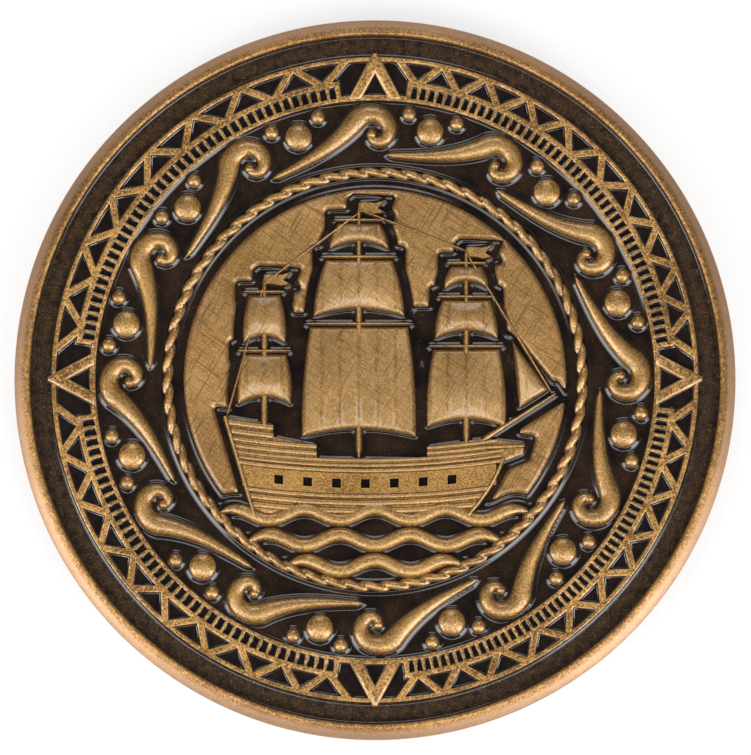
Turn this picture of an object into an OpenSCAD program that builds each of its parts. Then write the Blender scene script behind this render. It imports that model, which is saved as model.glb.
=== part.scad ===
// Antiqued metal game coin: one cast body with a sailing ship on its front and a compass star on its
// back, and the dark antiquing lacquer that lies in its recesses. Millimetres. The coin lies on its
// back: the back rim rests on z = 0, the front faces +Z and the top of the picture is towards +Y.

/* [Coin] */
// Outer diameter
coin_d = 45; // [44:0.5:56]
// Thickness over both rims
coin_t = 3.2; // [2.8:0.1:4.5]
// Thickness of the lacquer that lies in the recesses
lacquer_t = 0.1; // [0.05:0.01:0.15]

/* [Rim] */
// Width of the half-round rim
rim_w = 1.0; // [0.7:0.05:1.3]
// Width of the worn flat on the rim's crest
rim_land_w = 0.3; // [0.1:0.05:0.5]
// Width of the plain channel inside the rim
channel_w = 1.35; // [0.9:0.05:1.6]
// Depth of the front field below the rim's crest
front_depth = 0.75; // [0.7:0.05:0.95]
// Depth of the back field below the rim's crest
back_depth = 0.55; // [0.5:0.05:0.8]

/* [Border] */
// Height of the border above the field
border_h = 0.4; // [0.25:0.05:0.45]
// Width of the plain ring lines
line_w = 0.25; // [0.15:0.01:0.35]
// Radial height of the front's zigzag band
zigzag_h = 1.2; // [1.1:0.05:1.5]
// Number of zigzags in each quarter of the front, counted from the right pointer
zigzag_n = [11, 9, 10, 11]; // [8:1:12]
// Width of a zigzag stroke
zigzag_w = 0.38; // [0.2:0.01:0.45]
// Radial height of the ladder bands
ladder_h = 0.75; // [0.5:0.05:0.9]
// Number of ladder cells in each quarter of the front
ladder_n = [52, 48, 46, 56]; // [40:1:58]
// Width of a rung in the front's ladder
rung_w = 0.2; // [0.15:0.01:0.22]
// Number of ladder cells in each quarter of the back
back_ladder_n = 22; // [15:1:30]
// Width of a rung in the back's ladder
back_rung_w = 0.45; // [0.2:0.01:0.6]

/* [Compass pointers] */
// Width of a pointer at its base
pointer_w = 3.2; // [2.8:0.1:3.4]
// Width of a pointer's two strokes
pointer_stroke_w = 0.7; // [0.5:0.05:0.8]
// How far a pointer's tip stands out over the border's outer line
pointer_over = 0.25; // [0.1:0.05:0.4]
// Clear width beside a pointer's base
pointer_gap = 0.25; // [0.2:0.05:0.4]
// Height of the pointers above the field
pointer_h = 0.5; // [0.42:0.02:0.6]

/* [Wave ring] */
// Radial height of the ring of running waves
wave_band_w = 4.1; // [4:0.05:4.3]
// Number of waves
wave_n = 12; // [10:1:12]
// Height of the waves above the field
wave_h = 0.55; // [0.4:0.05:0.6]
// Radius of a wave's curl, at the middle of its stroke where the curl begins
curl_r = 1.4; // [1.35:0.05:1.45]
// Width of a wave's stroke where its curl begins
wave_w = 1.4; // [1.2:0.02:1.44]
// Width of a wave's stroke at its tail's tip
wave_tail_w = 0.4; // [0.3:0.02:0.5]
// Width of a wave's stroke where it meets the eye of its curl
wave_end_w = 0.55; // [0.45:0.02:0.6]
// Radius of the eye that ends a curl
curl_eye_r = 0.36; // [0.3:0.01:0.38]
// Distance of the eye from the middle of the curl
curl_eye_off = 0.22; // [0.18:0.01:0.26]
// Length of a wave along the ring, from its tail's tip to the middle of its curl
wave_tail_l = 7.3; // [6.4:0.1:7.4]
// Height of the drops of spray above the field
drop_h = 0.45; // [0.3:0.05:0.55]

/* [Rope ring] */
// Thickness of the rope ring round the picture
rope_w = 0.8; // [0.5:0.05:0.9]

/* [Sky] */
// Height of the brushed sky plate above the field
sky_h = 0.3; // [0.2:0.01:0.34]
// Clear width between the sky plate and the rope ring
sky_gap = 0.5; // [0.3:0.05:0.7]
// Width of the dark groove between the sky plate and the ship
groove_w = 0.42; // [0.3:0.02:0.5]

/* [Ship] */
// Height of the hull above the field
hull_h = 0.44; // [0.38:0.01:0.45]
// Height of the sails above the field, at their fullest
sail_h = 0.68; // [0.62:0.01:0.7]
// How far a sail falls away from its crown to its corners
sail_fall = 0.16; // [0.08:0.01:0.2]
// Height of the masts, spars and flags above the field
spar_h = 0.42; // [0.36:0.01:0.44]
// Width of a mast
mast_w = 0.46; // [0.3:0.02:0.6]
// Thickness of a yard, which carries a sail
yard_w = 0.3; // [0.2:0.01:0.36]
// How far a yard reaches past its sail on each side
yard_over = 0.3; // [0.1:0.05:0.4]
// Bulge of a sail's two sides
sail_bulge = 0.18; // [0.05:0.01:0.25]
// Rise of a sail's lower edge at its middle
sail_arch = 0.5; // [0.2:0.05:0.6]
// Length of a flag to its two tips
flag_l = 1.8; // [1.5:0.1:2.1]
// Length of a flag to the notch between its tips
flag_notch_l = 1.25; // [1:0.05:1.5]
// Depth of a flag at its mast
flag_w = 0.75; // [0.5:0.05:0.85]
// How far a flag's tips spread beyond its depth, above and below
flag_flare = 0.1; // [0:0.01:0.2]
// How far a flag stands above its mast
flag_up = 0.2; // [0.1:0.05:0.3]
// Side of a square gun port
port_w = 0.7; // [0.4:0.02:0.8]
// Distance between gun ports
port_pitch = 1.8; // [1.2:0.05:1.95]
// Number of gun ports
port_n = 7; // [3:1:7]
// Width of a wale, the heavy rubbing strake along the hull
wale_w = 0.32; // [0.2:0.02:0.36]
// Height of a wale above the hull's side
wale_h = 0.09; // [0.04:0.01:0.12]
// Rise of the hull's lines towards its two ends
sheer = 0.55; // [0.3:0.05:0.7]

/* [Sea] */
// Width of a bar of sea
sea_w = 0.95; // [0.6:0.05:1.1]
// Distance between bars of sea
sea_pitch = 1.6; // [1.5:0.05:1.8]
// Number of bars of sea
sea_n = 3; // [1:1:3]
// Length of one wave in a bar of sea
sea_wave_l = 4.4; // [3.5:0.1:6]
// Height of one wave in a bar of sea, from its middle
sea_wave_h = 0.34; // [0.1:0.02:0.4]
// Height of the sea above the field
sea_h = 0.47; // [0.46:0.01:0.5]

/* [Compass star] */
// Reach of the four long points on the back
star_long_r = 15; // [12:0.5:17]
// Reach of the four short points on the back
star_short_r = 9.5; // [7:0.5:10]
// Radius where two points meet
star_notch_r = 3.6; // [2:0.1:5]
// Height of the star above the field
star_h = 0.38; // [0.32:0.02:0.42]
// Inner radius of the plain ring that passes under the star
star_ring_r = 10.6; // [10.2:0.1:11]
// Width of that ring
star_ring_w = 0.9; // [0.5:0.05:1.2]
// Height of that ring
star_ring_h = 0.28; // [0.15:0.01:0.3]

/* [Hidden] */
$fn = 96;
// Depth to which relief runs down into the plate it grows from
root_t = 0.3;
// Steps in a quarter of the rim's round, along a wave's tail and round its curl, along each edge of a
// sail, along a wale, and along one wave of the sea
rim_steps = 6;
tail_steps = 6;
curl_steps = 17;
sail_steps = 6;
wale_steps = 12;
sea_steps = 8;
space_steps = 8;
// Angle at which a wave's curl starts, and how far it turns from there, in degrees
curl_start = 140;
curl_turn = 300;
// Number of compass pointers
pointer_n = 4;

// Radii from the rim inwards
coin_r = coin_d / 2;
channel_out_r = coin_r - rim_w;
border_out_r = channel_out_r - channel_w;
zigzag_out_r = border_out_r - line_w;
zigzag_in_r = zigzag_out_r - zigzag_h;
ladder_out_r = zigzag_in_r - line_w;
ladder_in_r = ladder_out_r - ladder_h;
border_in_r = ladder_in_r - line_w;
rope_out_r = border_in_r - wave_band_w;
rope_mid_r = rope_out_r - rope_w / 2;
rope_in_r = rope_out_r - rope_w;
wave_mid_r = (border_in_r + rope_out_r) / 2;
// The back has a ladder and no zigzag
back_ladder_out_r = border_out_r - line_w;
back_ladder_in_r = back_ladder_out_r - ladder_h;
back_border_in_r = back_ladder_in_r - line_w;

// Levels
front_floor = coin_t - front_depth;
back_floor = back_depth;
// Height of the rim's round between its flat crest and the edge
rim_round_h = sqrt(pow(rim_w / 2, 2) - pow(rim_land_w / 2, 2));

// The ship's layout, measured from the middle of the coin. Each mast is [x, deck, top].
main_mast = [-1.0, -4.9, 10.9];
fore_mast = [5.7, -4.0, 8.1];
mizzen_mast = [-6.9, -3.0, 6.4];
masts = [main_mast, fore_mast, mizzen_mast];
// Each sail is [mast's x, head, foot, half width at the head, half width at the foot]
sails = [
    [main_mast[0], 3.3, -3.7, 3.1, 3.6],
    [main_mast[0], 7.5, 3.8, 2.1, 2.9],
    [main_mast[0], 9.8, 8.0, 1.3, 1.9],
    [fore_mast[0], 1.9, -3.1, 2.1, 2.5],
    [fore_mast[0], 5.0, 2.4, 1.5, 2.0],
    [fore_mast[0], 7.1, 5.5, 0.95, 1.4],
    [mizzen_mast[0], 1.6, -1.7, 1.4, 1.7],
    [mizzen_mast[0], 5.3, 2.1, 1.0, 1.35],
];
// The bowsprit runs from the bow to its tip, and the jib is set between it and the fore mast
bowsprit = [[6.6, -3.9], [11.3, -0.9]];
jib = [[8.5, 2.6], [10.9, -0.7], [8.95, -1.95]];
// The hull's outline, clockwise from the stern at the waterline
hull_points = [
    [-7.5, -8.5], [-9.4, -2.3], [-6.4, -2.8], [-6.3, -3.6], [-3.7, -4.1], [-3.6, -4.9], [3.2, -5.0],
    [3.3, -4.2], [6.8, -3.7], [9.4, -4.0], [9.2, -4.7], [7.9, -5.2], [7.1, -6.8], [5.8, -8.5],
];
// Middle of the hull's length, and half the length over which its lines rise
hull_mid_x = -0.6;
hull_half_l = 7.9;
// The two wales: [height at the middle, aft end, fore end]
wales = [[-5.75, -8.3, 7.6], [-7.35, -7.85, 6.8]];
// Height of the gun ports' middle at the middle of the hull
port_y = -6.55;
// Height of the first bar of sea
sea_top_y = -8.45;
// The space between the decks and the lowest sails, which the sky plate leaves free: two corners
deck_space = [[-8.6, -5.2], [8.9, -1.2]];
// The drops of spray over a wave's tail: [along the ring, out from the ring's inner edge, radius]
drops = [[-4.7, 2.55, 0.9], [-3.3, 3.45, 0.48], [-6.1, 3.4, 0.48]];

brass = [0.63, 0.47, 0.26];
lacquer = [0.13, 0.1, 0.09];

function polar(r, a) = [r * cos(a), r * sin(a)];
function mix(a, b, t) = a + (b - a) * t;
function unit(v) = v / norm(v);
function reversed(list) = [for (i = [len(list) - 1 : -1 : 0]) list[i]];
// A clockwise outline moved outwards, with its sharpest corners held back
function edge_normal(points, i) =
    let (along = unit(points[(i + 1) % len(points)] - points[i])) [-along[1], along[0]];
function grown(points, w) = [
    for (i = [0 : len(points) - 1])
        let (
            before = edge_normal(points, (i + len(points) - 1) % len(points)),
            after = edge_normal(points, i)
        )
        points[i] + w * (before + after) / max(1 + before * after, 0.6)
];

// Plain ring of the given radii
module ring_2d(outer_r, inner_r) {
    difference() {
        circle(outer_r);
        circle(inner_r);
    }
}

// Front relief or lacquer: grows up from the front field
module on_front(h, root = 0) {
    translate([0, 0, front_floor - root]) linear_extrude(h + root) children();
}

// Back relief or lacquer: grows down from the back field
module on_back(h, root = 0) {
    translate([0, 0, back_floor - h]) linear_extrude(h + root) children();
}

// Blank: the plate with its half-round rim on both faces
function rim_arc(level, from, to) = [
    for (i = [0 : rim_steps])
        let (a = mix(from, to, i / rim_steps))
        [coin_r - rim_w / 2 + rim_w / 2 * cos(a), level + rim_w / 2 * sin(a)]
];

module blank() {
    top = coin_t - rim_round_h;
    crest_a = acos(rim_land_w / rim_w);
    rotate_extrude() polygon(concat(
        [[0, back_floor], [channel_out_r, back_floor]],
        rim_arc(rim_round_h, -180, crest_a - 180),
        rim_arc(rim_round_h, -crest_a, 0),
        rim_arc(top, 0, crest_a),
        rim_arc(top, 180 - crest_a, 180),
        [[channel_out_r, front_floor], [0, front_floor]]
    ));
}

// Border: triangles with their base on the outer line, triangles with their base on the inner line,
// and the cells of a ladder band. Each quarter runs from one compass pointer to the next and has its
// own pitch. The pointers stand where the first triangle of each quarter would be.
quarters = [0 : pointer_n - 1];
quarter_a = 360 / pointer_n;
function zigzag_pitch(q) = quarter_a / zigzag_n[q];
// Half the base of a triangle, to the middle of the strokes beside it
function half_base(r, q) = r * sin(zigzag_pitch(q) / 2);
// Angle from a triangle's middle to the corner of its base
function base_angle(r, q) =
    let (half = half_base(r, q))
    asin((half - zigzag_w * norm([half, zigzag_h]) / zigzag_h / 2) / r);
// Distance of a triangle's apex from the line it points to, where its base is on the other line
function apex_gap(r, q) =
    let (half = half_base(r, q)) zigzag_w * norm([half, zigzag_h]) / half / 2;
function outer_apex_r(q) = zigzag_in_r + apex_gap(zigzag_out_r, q);
function inner_apex_r(q) = zigzag_out_r - apex_gap(zigzag_in_r, q);

module outer_triangles_2d() {
    for (q = quarters) {
        base_a = base_angle(zigzag_out_r, q);
        for (k = [1 : zigzag_n[q] - 1])
            rotate(q * quarter_a + k * zigzag_pitch(q))
                polygon([
                    polar(outer_apex_r(q), 0),
                    polar(zigzag_out_r, -base_a), polar(zigzag_out_r, base_a),
                ]);
    }
}

module inner_triangles_2d() {
    for (q = quarters) {
        base_a = base_angle(zigzag_in_r, q);
        for (k = [1 : zigzag_n[q] - 2])
            rotate(q * quarter_a + (k + 0.5) * zigzag_pitch(q))
                polygon([
                    polar(inner_apex_r(q), 0),
                    polar(zigzag_in_r, base_a), polar(zigzag_in_r, -base_a),
                ]);
    }
}

// A ladder's cells, without the whole ones that lie within an angle of a quarter's ends
function clear_cells(n, clear_a) = ceil(clear_a * n / quarter_a);
module ladder_cells_2d(counts, rung, outer_r, inner_r, clear_a) {
    for (q = quarters) {
        pitch = quarter_a / counts[q];
        skip = clear_cells(counts[q], clear_a);
        outer_a = pitch / 2 - asin(rung / 2 / outer_r);
        inner_a = pitch / 2 - asin(rung / 2 / inner_r);
        for (k = [skip : counts[q] - 1 - skip])
            rotate(q * quarter_a + (k + 0.5) * pitch)
                polygon([
                    polar(inner_r, -inner_a), polar(outer_r, -outer_a),
                    polar(outer_r, outer_a), polar(inner_r, inner_a),
                ]);
    }
}

module front_ladder_2d() {
    ladder_cells_2d(ladder_n, rung_w, ladder_out_r, ladder_in_r, pointer_a);
}

module back_ladder_2d() {
    counts = [for (q = quarters) back_ladder_n];
    ladder_cells_2d(counts, back_rung_w, back_ladder_out_r, back_ladder_in_r, 0);
}

// Compass pointers: two strokes that meet in a tip, in a clear space of whole cells
pointer_tip_r = border_out_r + pointer_over;
pointer_base_r = ladder_in_r - line_w / 2;
// Angle from a pointer's middle that stays clear of the ladder
pointer_a = asin((pointer_w / 2 + pointer_gap) / ladder_in_r);

module each_pointer() {
    for (q = quarters) rotate(q * quarter_a) children();
}

module pointers_2d() {
    half = pointer_w / 2;
    slant_a = atan2(half, pointer_tip_r - pointer_base_r);
    inner_tip_r = pointer_tip_r - pointer_stroke_w / sin(slant_a);
    inner_half = half - pointer_stroke_w / cos(slant_a);
    each_pointer()
        polygon([
            [pointer_tip_r, 0], [pointer_base_r, -half], [pointer_base_r, -inner_half],
            [inner_tip_r, 0], [pointer_base_r, inner_half], [pointer_base_r, half],
        ]);
}

// One side of the space round a pointer, which follows the cells of the quarter on that side
function space_side(q) =
    let (
        wide_a = zigzag_pitch(q) / 2 + base_angle(zigzag_in_r, q),
        clear_a = clear_cells(ladder_n[q], pointer_a) * quarter_a / ladder_n[q],
        ladder_a = clear_a - asin(rung_w / 2 / ladder_in_r)
    )
    [
        [zigzag_out_r, base_angle(zigzag_out_r, q)], [inner_apex_r(q), zigzag_pitch(q) / 2],
        [zigzag_in_r, wide_a], [zigzag_in_r, ladder_a], [ladder_in_r, ladder_a],
    ];

module pointer_spaces_2d() {
    for (q = quarters) {
        left = space_side(q);
        right = space_side((q + pointer_n - 1) % pointer_n);
        left_a = left[len(left) - 1][1];
        right_a = -right[len(right) - 1][1];
        rotate(q * quarter_a)
            polygon(concat(
                [for (s = left) polar(s[0], s[1])],
                [
                    for (i = [1 : space_steps - 1])
                        polar(ladder_in_r, mix(left_a, right_a, i / space_steps))
                ],
                reversed([for (s = right) polar(s[0], -s[1])])
            ));
    }
}

module front_border_2d() {
    difference() {
        ring_2d(border_out_r, border_in_r);
        outer_triangles_2d();
        inner_triangles_2d();
        front_ladder_2d();
        pointer_spaces_2d();
    }
}

module back_border_2d() {
    difference() {
        ring_2d(border_out_r, back_border_in_r);
        back_ladder_2d();
    }
}

// One running wave: a tail that runs along the ring's inner edge and rises slantwise into a curl, and
// drops of spray over its tail. Its path is worked out flat, as [along the ring, out from the ring's
// inner edge], and then bent round the coin.
curl_v = wave_band_w / 2;
tail_v = wave_w / 2;
function curl_point(t) =
    let (a = curl_start - curl_turn * t) [0, curl_v] + mix(curl_r, curl_eye_off, t) * [cos(a), sin(a)];
function tail_point(t) =
    let (
        from = [-wave_tail_l, tail_v],
        to = curl_point(0),
        turn = [to[0] + (to[1] - tail_v) * tan(curl_start), tail_v]
    )
    mix(mix(from, turn, t), mix(turn, to, t), t);
function bent(p) = polar(rope_out_r + p[1], -p[0] / wave_mid_r * 180 / PI);
wave_path = concat(
    [for (i = [0 : tail_steps - 1]) tail_point(i / tail_steps)],
    [for (i = [0 : curl_steps]) curl_point(i / curl_steps)]
);
wave_widths = concat(
    [for (i = [0 : tail_steps - 1]) mix(wave_tail_w, wave_w, i / tail_steps)],
    [for (i = [0 : curl_steps]) mix(wave_w, wave_end_w, i / curl_steps)]
);

// One side of a stroke of changing width along a path
function stroke_side(path, widths, side) = [
    for (i = [0 : len(path) - 1])
        let (
            along = unit(path[min(i + 1, len(path) - 1)] - path[max(i - 1, 0)]),
            across = [-along[1], along[0]]
        )
        path[i] + side * widths[i] / 2 * across
];

module waves_2d() {
    outline = concat(
        stroke_side(wave_path, wave_widths, 1),
        reversed(stroke_side(wave_path, wave_widths, -1))
    );
    for (k = [0 : wave_n - 1])
        rotate(k * 360 / wave_n) {
            polygon([for (p = outline) bent(p)]);
            translate(bent(wave_path[len(wave_path) - 1])) circle(curl_eye_r);
        }
}

module drops_2d() {
    for (k = [0 : wave_n - 1], d = drops)
        rotate(k * 360 / wave_n) translate(bent(d)) circle(d[2]);
}

// Rope ring round the picture: what reaches it runs into its middle
module rope_ring() {
    translate([0, 0, front_floor]) rotate_extrude() translate([rope_mid_r, 0]) circle(rope_w / 2);
}

module inside_rope_2d() {
    intersection() {
        circle(rope_mid_r);
        children();
    }
}

// Ship
function line_rise(x) = sheer * pow((x - hull_mid_x) / hull_half_l, 2);

module hull_2d() {
    polygon(hull_points);
}

module ports_2d() {
    for (k = [0 : port_n - 1]) {
        x = hull_mid_x + (k - (port_n - 1) / 2) * port_pitch;
        translate([x, port_y + line_rise(x)]) square(port_w, center = true);
    }
}

module wales_2d() {
    for (w = wales) {
        line = [
            for (i = [0 : wale_steps])
                let (x = mix(w[1], w[2], i / wale_steps)) [x, w[0] + line_rise(x)]
        ];
        polygon(concat(
            [for (p = line) p + [0, wale_w / 2]],
            reversed([for (p = line) p - [0, wale_w / 2]])
        ));
    }
}

function sail_side(s, t, side) =
    [s[0] + side * (mix(s[3], s[4], t) + sail_bulge * 4 * t * (1 - t)), mix(s[1], s[2], t)];
function sail_outline(s) = concat(
    [for (i = [0 : sail_steps]) sail_side(s, i / sail_steps, 1)],
    [for (i = [1 : 2 * sail_steps - 1])
        let (u = 1 - i / sail_steps) [s[0] + u * s[4], s[2] + sail_arch * (1 - u * u)]],
    [for (i = [sail_steps : -1 : 0]) sail_side(s, i / sail_steps, -1)]
);

module sails_2d() {
    for (s = sails) polygon(sail_outline(s));
    polygon(jib);
}

// A sail as a prism under a shallow round crown, full in the middle and low at its corners
module crowned(outline, middle) {
    reach = max([for (p = outline) norm(p - middle)]);
    crown_r = (reach * reach + sail_fall * sail_fall) / (2 * sail_fall);
    intersection() {
        on_front(sail_h, root_t) inside_rope_2d() polygon(outline);
        translate([middle[0], middle[1], front_floor + sail_h - crown_r]) sphere(crown_r);
    }
}

module crowned_sails() {
    for (s = sails) crowned(sail_outline(s), [s[0], (s[1] + s[2]) / 2]);
    crowned(jib, (jib[0] + jib[1] + jib[2]) / 3);
}

// Masts, yards, flags and bowsprit, each with a margin that makes the groove round it
module masts_2d(margin) {
    for (m = masts)
        translate([m[0] - mast_w / 2 - margin, m[1]]) square([mast_w + 2 * margin, m[2] - m[1] + margin]);
}

module yards_2d(margin) {
    for (s = sails)
        translate([s[0], s[1] + yard_w / 2])
            square([2 * (s[3] + yard_over + margin), yard_w + 2 * margin], center = true);
}

module flags_2d(margin) {
    for (m = masts)
        translate([m[0], m[2] + flag_up])
            polygon(grown([
                [0, 0], [flag_l, flag_flare], [flag_notch_l, -flag_w / 2],
                [flag_l, -flag_w - flag_flare], [0, -flag_w],
            ], margin));
}

module bowsprit_2d(margin) {
    along = bowsprit[1] - bowsprit[0];
    translate(bowsprit[0]) rotate(atan2(along[1], along[0]))
        translate([0, -yard_w / 2 - margin]) square([norm(along) + margin, yard_w + 2 * margin]);
}

module spars_2d(margin = 0) {
    masts_2d(margin);
    yards_2d(margin);
    flags_2d(margin);
    bowsprit_2d(margin);
}

// Sea: wavy bars, each a half wave out of step with the one above
function sea_line(k) =
    let (step = sea_wave_l / sea_steps, reach = ceil(rope_out_r / step))
    [
        for (i = [-reach : reach])
            [i * step, sea_top_y - k * sea_pitch + sea_wave_h * cos(360 * (i / sea_steps + k / 2))]
    ];

module sea_2d() {
    for (k = [0 : sea_n - 1])
        polygon(concat(
            [for (p = sea_line(k)) p + [0, sea_w / 2]],
            reversed([for (p = sea_line(k)) p - [0, sea_w / 2]])
        ));
}

// Sky: a low plate that a groove parts from the ship, the sea and the rope ring
module sky_2d() {
    difference() {
        circle(rope_in_r - sky_gap);
        polygon(concat(
            [for (p = sea_line(0)) p + [0, sea_w / 2 + groove_w]],
            [[rope_out_r, -rope_out_r], [-rope_out_r, -rope_out_r]]
        ));
        polygon(grown(hull_points, groove_w));
        for (s = sails) polygon(grown(sail_outline(s), groove_w));
        polygon(grown(jib, groove_w));
        spars_2d(groove_w);
        translate(deck_space[0]) square(deck_space[1] - deck_space[0]);
    }
}

// Compass star on the back
module star_2d() {
    polygon([
        for (k = [0 : 7])
            each [
                polar(k % 2 == 0 ? star_long_r : star_short_r, 45 * k),
                polar(star_notch_r, 45 * k + 22.5),
            ]
    ]);
}

module star_ring_2d() {
    ring_2d(star_ring_r + star_ring_w, star_ring_r);
}

// The cast metal of both faces
module coin_body() {
    color(brass) {
        blank();
        on_front(border_h, root_t) front_border_2d();
        on_front(pointer_h, root_t) pointers_2d();
        on_front(wave_h, root_t) waves_2d();
        on_front(drop_h, root_t) drops_2d();
        rope_ring();
        on_front(sky_h, root_t) sky_2d();
        on_front(hull_h, root_t) inside_rope_2d() difference() {
            hull_2d();
            ports_2d();
        }
        on_front(hull_h + wale_h, root_t) inside_rope_2d() wales_2d();
        on_front(spar_h, root_t) inside_rope_2d() spars_2d();
        on_front(sea_h, root_t) inside_rope_2d() sea_2d();
        crowned_sails();
        on_back(border_h, root_t) back_border_2d();
        on_back(star_h, root_t) star_2d();
        on_back(star_ring_h, root_t) star_ring_2d();
    }
}

// The lacquer in each recess: what the relief round it leaves free
module front_channel_lacquer() {
    color(lacquer) on_front(lacquer_t) difference() {
        ring_2d(channel_out_r, border_out_r);
        pointers_2d();
    }
}

module front_outer_triangle_lacquer() {
    color(lacquer) on_front(lacquer_t) outer_triangles_2d();
}

module front_inner_triangle_lacquer() {
    color(lacquer) on_front(lacquer_t) inner_triangles_2d();
}

module front_ladder_lacquer() {
    color(lacquer) on_front(lacquer_t) front_ladder_2d();
}

module front_pointer_lacquer() {
    color(lacquer) on_front(lacquer_t) difference() {
        pointer_spaces_2d();
        pointers_2d();
    }
}

module front_wave_field_lacquer() {
    color(lacquer) on_front(lacquer_t) difference() {
        ring_2d(border_in_r, rope_out_r);
        waves_2d();
        drops_2d();
    }
}

module front_ship_field_lacquer() {
    color(lacquer) on_front(lacquer_t) difference() {
        circle(rope_in_r);
        hull_2d();
        wales_2d();
        sails_2d();
        spars_2d();
        sea_2d();
        sky_2d();
    }
}

module gun_port_lacquer() {
    color(lacquer) on_front(lacquer_t) difference() {
        intersection() {
            hull_2d();
            ports_2d();
        }
        wales_2d();
        sea_2d();
    }
}

module back_channel_lacquer() {
    color(lacquer) on_back(lacquer_t) ring_2d(channel_out_r, border_out_r);
}

module back_ladder_lacquer() {
    color(lacquer) on_back(lacquer_t) back_ladder_2d();
}

module back_ring_field_lacquer() {
    color(lacquer) on_back(lacquer_t) difference() {
        ring_2d(back_border_in_r, star_ring_r + star_ring_w);
        star_2d();
    }
}

module back_star_field_lacquer() {
    color(lacquer) on_back(lacquer_t) difference() {
        circle(star_ring_r);
        star_2d();
    }
}

coin_body();
front_channel_lacquer();
front_outer_triangle_lacquer();
front_inner_triangle_lacquer();
front_ladder_lacquer();
front_pointer_lacquer();
front_wave_field_lacquer();
front_ship_field_lacquer();
gun_port_lacquer();
back_channel_lacquer();
back_ladder_lacquer();
back_ring_field_lacquer();
back_star_field_lacquer();
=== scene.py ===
"""Looks of an antiqued brass game coin: cast relief on both faces, with dark lacquer in its recesses."""

import logging
import math
from dataclasses import dataclass
from enum import Enum
from functools import partial
from typing import Callable, Iterable, Sequence

import bmesh
import bpy
import numpy as np
from bmesh.types import BMEdge, BMFace, BMVert
from bpy.types import ID, Material, NodeSocket, NodeTree, Object
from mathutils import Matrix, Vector


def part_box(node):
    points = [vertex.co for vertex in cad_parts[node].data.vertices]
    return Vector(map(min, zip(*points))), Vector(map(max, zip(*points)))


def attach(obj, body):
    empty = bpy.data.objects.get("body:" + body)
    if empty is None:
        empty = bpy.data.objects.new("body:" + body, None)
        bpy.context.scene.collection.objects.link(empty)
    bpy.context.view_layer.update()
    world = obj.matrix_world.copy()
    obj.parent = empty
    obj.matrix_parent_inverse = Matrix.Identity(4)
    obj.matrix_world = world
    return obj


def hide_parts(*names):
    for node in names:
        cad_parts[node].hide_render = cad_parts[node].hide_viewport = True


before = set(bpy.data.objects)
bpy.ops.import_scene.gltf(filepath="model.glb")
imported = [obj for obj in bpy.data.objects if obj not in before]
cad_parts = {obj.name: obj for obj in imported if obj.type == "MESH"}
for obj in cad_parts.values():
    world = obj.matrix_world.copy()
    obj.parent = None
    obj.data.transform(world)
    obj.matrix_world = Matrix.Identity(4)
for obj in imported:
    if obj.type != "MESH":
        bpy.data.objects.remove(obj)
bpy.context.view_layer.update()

LOG = logging.getLogger("coin")
# Metres in a millimetre: meshes are shaped in millimetres and stored in metres
MM = 0.001
# Attribute that says how far a point stands out of its recess (0 in the lacquer, 1 on the crest), and in
# a pool of lacquer how open the pool is there (0 beside a wall, 1 in the open)
RELIEF = "relief"
# Points closer than this, in millimetres, are one point
WELD = 0.0005
# Angles closer than this, in radians, are one angle, and so are angles in the same part of a turn
SAME_TURN = 1e-6
TURN_PARTS = 10**7
# Number of faces across a rounded edge
ROUND_STEPS = 3
# Least spread of a corner when its outline is grown, which holds sharper corners back
CORNER_SPREAD = 0.6
# Settings of a node that mixes two colours, and the output that gives the mix
COLOURS = {"output": 2, "data_type": "RGBA"}

Spot = tuple[Vector, float]
Place = Callable[[float, float], Spot]
Outline = np.ndarray
Pair = tuple[float, float]
Pairs = tuple[Pair, ...]
Triple = tuple[float, float, float]
AddNode = Callable[..., NodeSocket | None]


def blend(low: float, high: float, share: float) -> float:
    """Goes from low to high as share goes from 0 to 1."""
    return low + (high - low) * share


def clamp(value: float, low: float = 0.0, high: float = 1.0) -> float:
    """Keeps a value between two limits."""
    return max(low, min(high, value))


def shares(steps: int) -> list[float]:
    """Shares of a way, from 0 to 1 in even steps."""
    return [i / steps for i in range(steps + 1)]


def polar(radius: float, turn: float) -> Vector:
    """A point so far from the coin's axis, at an angle from the right."""
    return Vector((radius * math.cos(turn), radius * math.sin(turn)))


def verts_of(geom: Iterable) -> list[BMVert]:
    """The points among the parts that an operator made."""
    return [part for part in geom if isinstance(part, BMVert)]


def edges_of(geom: Iterable) -> list[BMEdge]:
    """The edges among the parts that an operator made."""
    return [part for part in geom if isinstance(part, BMEdge)]


def placed(name: str, data: ID) -> Object:
    """Puts a mesh, a lamp or a camera into the scene.

    Args:
        name: The object's name.
        data: What the object shows.

    Returns:
        The object.
    """
    made = bpy.data.objects.new(name, data)
    bpy.context.scene.collection.objects.link(made)
    return made


def linear(code: str, alpha: float = 1.0) -> tuple[float, float, float, float]:
    """Turns an sRGB hex colour to linear light.

    Args:
        code: The colour, such as "#a57d46".
        alpha: The colour's opacity.

    Returns:
        Red, green, blue and alpha for a shader socket.
    """
    parts = [int(code[i : i + 2], 16) / 255 for i in (1, 3, 5)]
    red, green, blue = (c / 12.92 if c <= 0.04045 else ((c + 0.055) / 1.055) ** 2.4 for c in parts)
    return red, green, blue, alpha


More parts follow.
